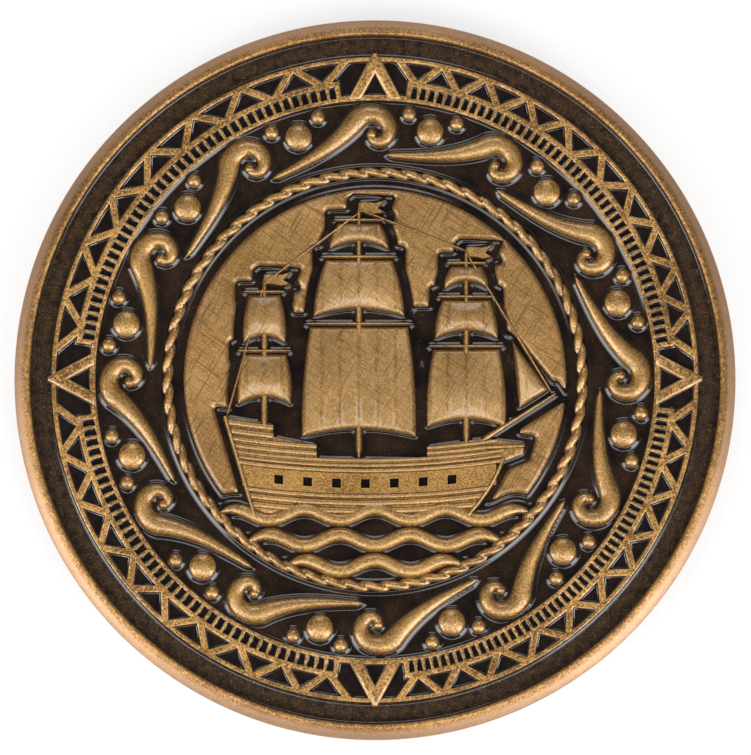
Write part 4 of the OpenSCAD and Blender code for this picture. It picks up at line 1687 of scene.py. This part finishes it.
@dataclass
class Rigging(Piece):
    """Masts, yards, bowsprit, flags and stays."""

    plan: ShipPlan
    rise: float = 0.44
    mast_top_w: float = 0.3
    yard_rise: float = 0.52
    yard_end_w: float = 0.2
    stay_w: float = 0.2
    stay_rise: float = 0.5
    squareness: float = 2.2
    spar_steps: int = 24
    # How much of a spar's length its rounded ends take, and how far a mast goes into the deck
    cap_share: float = 0.02
    mast_sink: float = 0.2
    # A flag's ripples: their length, their share of its height and how far they sway its tip
    ripple_l: float = 1.3
    ripple_share: float = 0.15
    ripple_sway: float = 0.07
    flag_edge: float = 0.1
    flag_cells: tuple[int, int] = (26, 14)
    stays: tuple[Pairs, ...] = (
        ((FORE.x, 7.9), (11.1, -1.0)),
        ((MAIN.x, 10.6), (FORE.x, 8.0)),
        ((MAIN.x, 10.4), (MIZZEN.x, 6.0)),
        ((MIZZEN.x, 6.0), (-9.25, -2.4)),
    )

    def spar(self, casting: Casting, ends: Pairs, widths: Triple, rise: float) -> None:
        """Adds a straight round spar.

        Args:
            casting: The mesh to add it to.
            ends: Its two ends.
            widths: Its width at its start, its middle and its end.
            rise: Its height over the field.
        """
        start, end = (Vector(spot) for spot in ends)
        first, middle, last = widths

        def route(share: float) -> Stroke:
            """One station of the spar.

            Args:
                share: How far along it, from 0 to 1.

            Returns:
                The station.
            """
            width = blend(first, middle, 2 * share) if share < 0.5 else blend(middle, last, 2 * share - 1)
            cap = math.sqrt(clamp(min(share, 1 - share) / self.cap_share))
            return Stroke(start.lerp(end, share), width / 2 * cap, rise)

        casting.sweep(route, Section(self.squareness), self.spar_steps)

    def flag(self, casting: Casting, mast: Mast) -> None:
        """Adds a swallow-tailed flag that streams from a mast.

        Args:
            casting: The mesh to add it to.
            mast: The mast.
        """
        plan = self.plan

        def place(u: float, v: float) -> Spot:
            """Lays a point of the flag.

            Args:
                u: Share of its length.
                v: Share of its height.

            Returns:
                The point's place and relief.
            """
            spread = 2 * v - 1
            tip = blend(plan.flag_notch_l, plan.flag_l, abs(spread))
            x = tip * u
            half = plan.flag_w / 2 + plan.flag_flare * u
            inset = min((1 - abs(spread)) * half, (1 - u) * tip)
            ripple = math.sin(math.tau * x / self.ripple_l)
            full = blend(1.0, ripple, self.ripple_share)
            relief = clamp(inset / self.flag_edge)
            middle = mast.top + plan.flag_up - plan.flag_w / 2 + self.ripple_sway * ripple * u
            spot = casting.at(mast.x + x, middle + spread * half, self.rise * full * math.sqrt(relief))
            return spot, relief

        casting.sheet(*self.flag_cells, place)

    def build(self) -> None:
        """Casts the rigging and dresses it."""
        plan = self.plan
        flags = self.cast("ship_flags")
        spars = self.cast("ship_spars")
        for mast in plan.masts:
            self.flag(flags, mast)
            ends = ((mast.x, mast.deck - self.mast_sink), (mast.x, mast.top + plan.flag_up))
            self.spar(spars, ends, (plan.mast_w, plan.mast_w, self.mast_top_w), self.rise)
        for sail in plan.sails:
            reach = sail.head_half + plan.yard_over
            y = sail.head + plan.yard_w / 2
            ends = ((sail.x - reach, y), (sail.x + reach, y))
            self.spar(spars, ends, (self.yard_end_w, plan.yard_w, self.yard_end_w), self.yard_rise)
        self.spar(spars, plan.bowsprit, (plan.mast_w, plan.yard_w, self.yard_end_w), self.rise)
        flags.close_below()
        flags.finish()
        spars.finish()
        stays = self.cast("ship_stays")
        for ends in self.stays:
            self.spar(stays, ends, (self.stay_w,) * 3, self.stay_rise)
        stays.finish()


@dataclass
class Hull(Piece):
    """The ship's side: strakes, wales, a gun deck with ports, and raised ends."""

    plan: ShipPlan
    rise: float = 0.44
    wale_rise: float = 0.53
    base_rise: float = 0.28
    groove: float = 0.07
    sheer: float = 0.55
    mid_x: float = -0.6
    half_l: float = 7.9
    keel_y: float = -8.5
    # The stern's foot, and how far it leans out over how much height
    stern_x: float = -7.5
    stern_lean: Pair = (1.9, 6.2)
    # The bow's foot, how far it leans out for each unit of height, and how it curves back
    bow_x: float = 5.8
    bow_lean: float = 0.901
    bow_curve: float = 0.0802
    # Planks: lower and upper edge at the middle of the hull, and the ends that aren't at stern or bow
    planks: tuple[tuple[Pair, float | None, float | None], ...] = (
        ((-8.5, -8.0), None, None),
        ((-8.0, -7.51), None, None),
        ((-5.59, -5.27), None, None),
        ((-5.27, -4.95), None, None),
        ((-4.95, -4.53), None, -3.65),
        ((-4.53, -4.11), None, -3.65),
        ((-4.11, -3.6), None, -6.35),
        ((-3.6, -3.1), None, -6.35),
        ((-4.95, -4.62), 3.25, 7.6),
        ((-4.62, -4.3), 3.25, 7.6),
    )
    # How far short of stern and bow the planks stop
    plank_gap: float = 0.1
    plank_steps: int = 28
    plank_section: Section = Section(squareness=4.0, points=12)
    # The stern post and the beak under the bowsprit, and the stem's top
    posts: tuple[Pairs, ...] = (
        ((-7.5, -8.5), (-9.35, -2.35)),
        ((6.9, -4.3), (9.25, -4.2)),
    )
    post_half: float = 0.17
    stem_half: float = 0.16
    stem_top: float = -4.9
    post_steps: int = 24
    base_round: float = 0.09
    # The gun deck's height as a share of the planks', and its relief
    deck_share: float = 0.92
    deck_relief: float = 0.75
    deck_smooth_to: float = 30.0
    port_w: float = 0.7
    port_pitch: float = 1.8
    port_n: int = 7
    port_frame: float = 0.1
    port_frame_rise: float = 0.07
    gun_deck: Pair = (-7.19, -5.91)
    wales: Pairs = ((-7.51, -7.19), (-5.91, -5.59))

    def lift(self, x: float) -> float:
        """Rise of the hull's lines at a place along it."""
        return self.sheer * ((x - self.mid_x) / self.half_l) ** 2

    def stern(self, y: float) -> float:
        """Where the stern is at a height."""
        out, up = self.stern_lean
        return self.stern_x - (y - self.keel_y) * out / up

    def bow(self, y: float) -> float:
        """Where the bow is at a height."""
        up = y - self.keel_y
        return self.bow_x + self.bow_lean * up - self.bow_curve * up * up

    def strake(self, casting: Casting, band: Pair, ends: Pair, rise: float, gap: float) -> None:
        """Adds one plank along the hull.

        Args:
            casting: The mesh to add it to.
            band: The plank's lower and upper edge at the middle of the hull.
            ends: Its aft and fore end.
            rise: Its height over the field.
            gap: The groove between planks.
        """
        middle = sum(band) / 2
        half = (band[1] - band[0] - gap) / 2

        def route(share: float) -> Stroke:
            """One station of the plank."""
            x = blend(ends[0], ends[1], share)
            return Stroke(Vector((x, middle + self.lift(x))), half, rise)

        casting.sweep(route, self.plank_section, self.plank_steps)

    def post(self, foot: Vector, head: Vector, share: float) -> Stroke:
        """One station of a straight post."""
        return Stroke(foot.lerp(head, share), self.post_half, self.wale_rise)

    def stem(self, share: float) -> Stroke:
        """One station of the stem, which follows the bow."""
        y = blend(self.keel_y, self.stem_top, share)
        return Stroke(Vector((self.bow(y), y)), self.stem_half, self.wale_rise)

    def hull_ends(self, y: float) -> Pair:
        """Where a line of the hull ends aft and fore, from its height in the middle."""
        return self.stern(y + self.sheer), self.bow(y + self.sheer)

    def sheer_line(self, y: float) -> Pairs:
        """A line along the hull from stern to bow.

        Args:
            y: The line's height in the middle of the hull.

        Returns:
            The line's points.
        """
        aft, fore = self.hull_ends(y)
        places = [blend(aft, fore, share) for share in shares(self.plank_steps)]
        return tuple((x, y + self.lift(x)) for x in places)

    def build_base(self) -> None:
        """Casts the low plates that the planks lie on, one below and one above the gun deck."""
        casting = self.cast("ship_hull_plate")
        low, high = (self.sheer_line(y) for y in self.gun_deck)
        # The hull's outline starts at the keel's aft end, and its last two corners are the stem's lowest
        keel, rail, stem = self.plan.hull[:1], self.plan.hull[1:-2], self.plan.hull[-2:]
        for outline in (stem + keel + low, rail + high[::-1]):
            casting.round_off(casting.plate(outline, 0.0, self.base_rise), self.base_round)
        casting.shade_by_height(self.layout.lacquer_t, self.rise)
        casting.finish()

    def build_planks(self) -> None:
        """Casts the strakes, the wales and the posts at both ends."""
        casting = self.cast("ship_planks")
        for band, aft, fore in self.planks:
            stern, bow = self.hull_ends(sum(band) / 2)
            aft = stern + self.plank_gap if aft is None else aft
            fore = bow - self.plank_gap if fore is None else fore
            self.strake(casting, band, (aft, fore), self.rise, self.groove)
        for band in self.wales:
            self.strake(casting, band, self.hull_ends(sum(band) / 2), self.wale_rise, 0.0)
        for foot, head in self.posts:
            casting.sweep(partial(self.post, Vector(foot), Vector(head)), Section(), self.post_steps)
        casting.sweep(self.stem, Section(), self.post_steps)
        casting.finish()

    def build_gun_deck(self) -> None:
        """Casts the band of hull that holds the gun ports."""
        casting = self.cast("ship_gun_deck")
        bm = casting.bm
        low, high = self.gun_deck
        middle = (low + high) / 2
        half = self.port_w / 2
        ports = [self.mid_x + (k - (self.port_n - 1) / 2) * self.port_pitch for k in range(self.port_n)]
        aft, fore = self.hull_ends(middle)
        stops = [aft] + [x + side for x in ports for side in (-half, half)] + [fore]
        shelves = (low, middle - half, middle + half, high)

        def place(u: float, v: float) -> Spot:
            """Lays a corner of the ports and of the hull between them."""
            x, shelf = stops[round(u * (len(stops) - 1))], shelves[round(v * (len(shelves) - 1))]
            return casting.at(x, shelf + self.lift(x), self.rise * self.deck_share), self.deck_relief

        casting.sheet(len(stops) - 1, len(shelves) - 1, place)
        holes = []
        for cell in bm.faces:
            spot = cell.calc_center_median()
            near = min(ports, key=lambda x: abs(x - spot.x))
            off = (near - spot.x, middle + self.lift(near) - spot.y)
            if max(map(abs, off)) < self.port_w / 4:
                holes.append(cell)
        frames = bmesh.ops.inset_individual(bm, faces=holes, thickness=self.port_frame)["faces"]
        raised = bmesh.ops.extrude_face_region(bm, geom=frames)["geom"]
        bmesh.ops.translate(bm, verts=verts_of(raised), vec=(0.0, 0.0, self.port_frame_rise))
        for vert in verts_of(raised):
            vert[casting.relief] = 1.0
        bmesh.ops.delete(bm, geom=frames, context="FACES_ONLY")
        sunk = bmesh.ops.extrude_discrete_faces(bm, faces=holes)["faces"]
        for vert in {vert for cell in sunk for vert in cell.verts}:
            vert.co.z = self.layout.level(Face.FRONT, 0.0)
            vert[casting.relief] = 0.0
        casting.close_below()
        casting.finish(smooth_to=self.deck_smooth_to)

    def build(self) -> None:
        """Casts the whole hull and dresses it."""
        self.build_base()
        self.build_planks()
        self.build_gun_deck()


@dataclass
class Sea(Piece):
    """Wavy bars of sea under the ship, which run into the rope ring."""

    plan: ShipPlan
    rise: float = 0.48
    # The bars' ends dip, and go so far under the rope
    under_rope: float = 0.15
    end_rise: float = 0.2
    dip_l: float = 1.6
    squareness: float = 2.4
    steps: int = 90

    def build(self) -> None:
        """Casts the sea and dresses it."""
        plan = self.plan
        casting = self.cast("sea_bars")
        for k in range(plan.sea_n):
            low = abs(plan.sea_top_y - k * plan.sea_pitch) - plan.sea_w / 4
            reach = math.sqrt((self.layout.rope_in_r + self.under_rope) ** 2 - low**2)

            def route(share: float) -> Stroke:
                """One station of the bar.

            Args:
                share: How far along it, from 0 to 1.

            Returns:
                The station.
            """
                x = blend(-reach, reach, share)
                inside = clamp((reach - abs(x)) / self.dip_l)
                rise = blend(self.end_rise, self.rise, inside * inside * (3 - 2 * inside))
                return Stroke(Vector((x, plan.sea_y(k, x))), plan.sea_w / 2 * math.sqrt(inside), rise)

            casting.sweep(route, Section(self.squareness), self.steps)
        casting.finish()


@dataclass
class Pool(Piece):
    """Lacquer in one of the front's fields, climbing the walls of the relief round it."""

    name: str
    node: str
    distance: Callable[[np.ndarray], np.ndarray]
    climb: float = 0.11
    reach: float = 0.26
    climb_power: float = 2.5
    # Distance from a wall at which the lacquer was wiped thin
    open_w: float = 1.1
    # How often the corners of a square sheet's outlines are softened
    rounding: int = 0
    # How far the lacquer goes into the relief round it, and past the field's edge
    hidden_w: float = 0.12
    spare: float = 0.1

    def fill(self, casting: Casting, verts: Sequence[BMVert]) -> None:
        """Raises a flat sheet to the lacquer's surface, cuts away what the relief hides and dresses it.

        Args:
            casting: The mesh.
            verts: The sheet's points.
        """
        distances = self.distance(np.array([vert.co.to_2d() for vert in verts]))
        if self.rounding:
            distances = softened(distances.reshape(math.isqrt(len(verts)), -1), self.rounding).ravel()
        hidden = []
        for vert, distance in zip(verts, distances):
            near = clamp(1 - distance / self.reach)
            rise = self.layout.lacquer_t + self.climb * near**self.climb_power
            vert.co.z = self.layout.level(Face.FRONT, rise)
            vert[casting.relief] = clamp(distance / self.open_w)
            if distance < -self.hidden_w:
                hidden.append(vert)
        bmesh.ops.delete(casting.bm, geom=hidden, context="VERTS")
        casting.close_below()
        casting.finish("field_lacquer", self.node)

    def fill_disc(self, radius: float, cells: int) -> None:
        """Fills a round field.

        Args:
            radius: The field's radius.
            cells: Number of faces across.
        """
        casting = self.cast(self.name)
        reach = radius + self.spare

        def place(u: float, v: float) -> Spot:
            """Lays a point of a square grid."""
            return Vector((blend(-reach, reach, u), blend(-reach, reach, v), 0.0)), 0.0

        self.fill(casting, casting.sheet(cells, cells, place))

    def fill_ring(self, inner_r: float, outer_r: float, cells: tuple[int, int]) -> None:
        """Fills a field between two circles.

        Args:
            inner_r: The inner circle's radius.
            outer_r: The outer circle's radius.
            cells: Number of faces round it and across it.
        """
        casting = self.cast(self.name)

        def place(u: float, v: float) -> Spot:
            """Lays a point of a round grid."""
            radius = blend(inner_r - self.spare, outer_r + self.spare, v)
            return polar(radius, math.tau * u).to_3d(), 0.0

        casting.sheet(*cells, place)
        bmesh.ops.remove_doubles(casting.bm, verts=casting.bm.verts[:], dist=WELD)
        self.fill(casting, casting.bm.verts[:])


@dataclass
class CompassStar(Piece):
    """Eight-pointed star on the back, and the plain ring that passes under it."""

    long_r: float = 15.0
    short_r: float = 9.5
    notch_r: float = 3.6
    rise: float = 0.44
    tip_rise: float = 0.3
    edge_rise: float = 0.2
    # Lacquer that climbs the star's walls: how far out, and how far up
    skirt: Pairs = ((0.02, 0.17), (0.06, 0.125), (0.14, 0.095))
    ring_r: float = 10.6
    ring_w: float = 0.9
    ring_rise: float = 0.3
    ring_foot: float = 0.12
    ring_steps: int = 192
    # Relief of the star's outline
    edge_relief: float = 0.8
    # The star's quarters, and the corners in each
    quarter_n: int = 4
    corner_n: int = 4
    # Ridges and furrows stay sharp, even where the star's faces meet at a few degrees
    smooth_to: float = 8.0

    @property
    def corner_turn(self) -> float:
        """Angle between two corners of the outline."""
        return math.tau / (self.quarter_n * self.corner_n)

    def outline(self) -> Outline:
        """The star's outline, clockwise from its right point.

        Returns:
            The outline's corners.
        """
        reaches = np.tile((self.long_r, self.notch_r, self.short_r, self.notch_r), self.quarter_n)
        turns = -self.corner_turn * np.arange(len(reaches))
        return reaches[:, None] * np.column_stack((np.cos(turns), np.sin(turns)))

    def build(self) -> None:
        """Casts the star and its ring and dresses them."""
        casting = self.cast("compass_star", Face.BACK)
        bm = casting.bm
        outline = self.outline()
        rim = [
            bm.verts.new(casting.at(x, y, self.edge_rise if k % 2 else self.tip_rise))
            for k, (x, y) in enumerate(outline)
        ]
        middle = bm.verts.new(casting.at(0.0, 0.0, self.rise))
        middle[casting.relief] = 1.0
        edges = []
        for first, second in zip(rim, rim[1:] + rim[:1]):
            bm.faces.new((middle, first, second))
            edges.append(bm.edges.get((first, second)))
            first[casting.relief] = self.edge_relief
        for margin, rise in self.skirt:
            made = bmesh.ops.extrude_edge_only(bm, edges=edges)["geom"]
            edges = edges_of(made)
            corners = grown(outline, margin)
            for vert in verts_of(made):
                k = round(-math.atan2(vert.co.y, vert.co.x) / self.corner_turn) % len(corners)
                vert.co = casting.at(*corners[k], rise)
                vert[casting.relief] = 0.0
        casting.close_below()
        casting.finish(smooth_to=self.smooth_to)
        ring = self.cast("star_ring", Face.BACK)
        middle_r = self.ring_r + self.ring_w / 2

        def route(share: float) -> Stroke:
            """One station of the ring."""
            return Stroke(polar(middle_r, math.tau * share), self.ring_w / 2, self.ring_rise)

        ring.sweep(route, Section(foot=self.ring_foot), self.ring_steps)
        ring.finish()


@dataclass(frozen=True)
class Lamp:
    """A square soft lamp: its direction and height in degrees, its diffuser's side in metres, its watts."""

    name: str
    # 0 is towards the bottom of the picture and 90 to its right
    azimuth: float
    elevation: float
    size: float
    watts: float


@dataclass
class Studio:
    """Pale floor, soft lamps and the camera."""

    layout: CoinLayout
    image_h: int = 755
    coin_px: float = 722.0
    # How far right and down of the middle of the image the coin lies
    shift_px: Pair = (-0.5, 2.5)
    elevation: float = 86.3
    distance: float = 0.42
    nearest: float = 0.01
    sensor: float = 36.0
    floor_span: float = 4.0
    floor_colour: str = "#f4f4f4"
    # How much of the floor that is seen, or mirrored in the coin, is plain white
    floor_white: float = 0.75
    lamp_distance: float = 0.7
    lamps: tuple[Lamp, ...] = (
        Lamp("low left", -62.0, 36.0, 0.32, 2.6),
        Lamp("low right", 50.0, 36.0, 0.32, 2.75),
        Lamp("high left", -40.0, 63.0, 0.36, 1.5),
        Lamp("high right", 40.0, 63.0, 0.36, 1.5),
        Lamp("far", 180.0, 48.0, 0.3, 1.0),
    )
    # The room's light near the horizon and overhead, and the heights between which it changes
    horizon: float = 0.32
    zenith: float = 0.08
    low_sky: float = 0.3
    high_sky: float = 0.8

    def floor(self) -> None:
        """Lays the floor that the coin rests on."""
        bm = bmesh.new()
        bmesh.ops.create_grid(bm, x_segments=1, y_segments=1, size=self.floor_span / 2)
        mesh = bpy.data.meshes.new("floor")
        bm.to_mesh(mesh)
        bm.free()
        made, add = empty_material("matt white paper")
        rays = add("LightPath").node.outputs
        seen = rays["Is Camera Ray"]
        for mirrored in (rays["Is Glossy Ray"], rays["Is Transmission Ray"]):
            seen = add("Math", {0: seen, 1: mirrored}, operation="MAXIMUM")
        share = add("Math", {0: seen, 1: self.floor_white}, operation="MULTIPLY")
        paper = add("BsdfDiffuse", {"Color": linear(self.floor_colour)})
        white = add("Emission", {"Color": linear("#ffffff"), "Strength": 1.0})
        mixed = add("MixShader", {0: share, 1: paper, 2: white})
        add("OutputMaterial", {"Surface": mixed})
        mesh.materials.append(made)
        placed("floor", mesh)

    @staticmethod
    def face(piece: Object, aim: Vector, azimuth: float, elevation: float, distance: float) -> None:
        """Puts a lamp or the camera so far from a point and turns it to face it.

        Args:
            piece: The lamp or camera.
            aim: The point.
            azimuth: Its direction in degrees, 0 towards the bottom of the picture and 90 to its right.
            elevation: Its height in degrees over the table.
            distance: Its distance from the point in metres.
        """
        turn, up = math.radians(azimuth), math.radians(elevation)
        back = Vector((math.sin(turn) * math.cos(up), -math.cos(turn) * math.cos(up), math.sin(up)))
        piece.location = aim + back * distance
        piece.rotation_mode = "QUATERNION"
        piece.rotation_quaternion = (-back).to_track_quat("-Z", "Y")

    def lights(self) -> None:
        """Sets the room's light, which is darker overhead, and soft lamps in front and one behind."""
        world = bpy.data.worlds.new("studio")
        world.use_nodes = True
        world.node_tree.nodes.clear()
        add = partial(add_node, world.node_tree)
        way = add("TexCoord", output="Generated")
        up = add("SeparateXYZ", {"Vector": way}, output="Z")
        limits = {"From Min": self.low_sky, "From Max": self.high_sky}
        limits |= {"To Min": self.horizon, "To Max": self.zenith}
        strength = add("MapRange", {"Value": up, **limits}, interpolation_type="SMOOTHSTEP")
        sky = add("Background", {"Color": linear("#ffffff"), "Strength": strength})
        add("OutputWorld", {"Surface": sky})
        bpy.context.scene.world = world
        for lamp in self.lamps:
            data = bpy.data.lights.new(lamp.name, "AREA")
            data.shape = "SQUARE"
            data.size = lamp.size
            data.energy = lamp.watts
            piece = placed(lamp.name, data)
            self.face(piece, Vector(), lamp.azimuth, lamp.elevation, self.lamp_distance)

    def camera(self) -> None:
        """Sets the camera over the coin at the photograph's angle and framing."""
        data = bpy.data.cameras.new("camera")
        camera = placed("camera", data)
        pixel = 2 * self.layout.coin_r * MM / self.coin_px
        right, down = self.shift_px
        middle = self.layout.coin_t / 2 * MM
        self.face(camera, Vector((-right * pixel, down * pixel, middle)), 0.0, self.elevation, self.distance)
        data.sensor_width = self.sensor
        data.lens = self.sensor * (self.distance - middle) / (pixel * self.image_h)
        data.clip_start = self.nearest
        bpy.context.scene.camera = camera

    def build(self) -> None:
        """Sets up the floor, the light and the camera."""
        self.floor()
        self.lights()
        self.camera()
        bpy.context.scene.view_settings.view_transform = "Standard"


CELL_POOLS = (
    "front_outer_triangle_lacquer",
    "front_inner_triangle_lacquer",
    "front_ladder_lacquer",
    "front_pointer_lacquer",
    "gun_port_lacquer",
    "back_ladder_lacquer",
)
BACK_POOLS = ("back_ring_field_lacquer", "back_star_field_lacquer")


def dress(nodes: Sequence[str], material: Material) -> None:
    """Gives solids that stay as they are a finish.

    Args:
        nodes: The solids' names.
        material: The finish.
    """
    for node in nodes:
        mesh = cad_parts[node].data
        mesh.materials.clear()
        mesh.materials.append(material)
        LOG.info("%s: %s", node, material.name)


def main() -> None:
    """Builds the coin's pieces in order, then the studio round them."""
    logging.basicConfig(level=logging.INFO, format="%(message)s")
    layout = CoinLayout.from_frame()
    plan = ShipPlan(layout)
    # The rim's pale pinkish worn tone on its outer slope is partly wear and partly a painted reflection of
    # the pale surroundings
    rim = AntiqueBrass(
        "antiqued brass, rubbed rim", bright="#c39660", dull="#805f3a", worn="#c9a486", scratch_depth=0.3,
        weave_share=0.2, worn_share=0.7, grime_share=0.4, grime_mm=0.35, roughness=0.52, coat=0.1,
    ).material()
    rubbed = AntiqueBrass(
        "antiqued brass, cross-rubbed", bright="#be9763", dull="#886638", scratch_depth=0.65, worn_share=0.1,
        roughness=0.58,
    ).material()
    cast = AntiqueBrass(
        "antiqued brass, as cast", bright="#c1975a", dull="#846031", scratch_depth=0.25, weave_share=0.15,
        worn_share=0.1, roughness=0.5,
    ).material()
    # The pale cream edges of this finish are partly wear and partly a painted highlight
    edged = AntiqueBrass(
        "antiqued brass, worn edges", bright="#d4a564", dull="#70502a", worn="#dcc59a", scratch_depth=0.25,
        weave_share=0.15, worn_share=0.0, edge_wear_and_highlight_share=0.3, grime_share=0.7, roughness=0.54,
    ).material()
    field = PooledLacquer("glossy dark brown lacquer", thick="#110b09", thin="#2b1e15").material()
    cell = PooledLacquer(
        "thick black-brown lacquer", thick="#15100f", thin="#261c19", fleck_from=0.68, pool_mm=0.6
    ).material()
    channel = PooledLacquer(
        "thin brown lacquer over brass", thick="#130d0a", thin="#36271c", fleck="#b08c55", fleck_mm=0.09,
        fleck_from=0.6, pool_mm=0.5, roughness=0.17,
    ).material()
    Blank(layout, rim).build()
    for face in Face:
        side = face.name.lower()
        ChannelPool(layout, channel, face, f"{side}_channel_pool", f"{side}_channel_lacquer").build()
    Border(layout, edged, Face.FRONT, "zigzag_border", (52, 48, 46, 56), (11, 9, 10, 11)).build()
    Border(layout, edged, Face.BACK, "back_border", (22, 22, 22, 22), rung_w=0.45, rung_round=0.1).build()
    Pointers(layout, edged).build()
    waves = WaveRing(layout, cast)
    waves.build()
    RopeRing(layout, cast).build()
    Sky(layout, rubbed, plan).build()
    Hull(layout, cast, plan).build()
    Rigging(layout, cast, plan).build()
    Canvas(layout, rubbed, plan).build()
    Sea(layout, cast, plan).build()
    CompassStar(layout, rubbed).build()
    wave_pool = Pool(layout, field, "wave_field_pool", "front_wave_field_lacquer", waves.distance)
    wave_pool.fill_ring(layout.rope_out_r, layout.border_in_r, cells=(1680, 72))
    ship_pool = Pool(
        layout, field, "ship_field_pool", "front_ship_field_lacquer", plan.relief_distance, climb=0.06,
        reach=0.17, rounding=14,
    )
    ship_pool.fill_disc(layout.rope_in_r, cells=520)
    dress(CELL_POOLS, cell)
    dress(BACK_POOLS, field)
    Studio(layout).build()


if __name__ == "__main__":
    main()
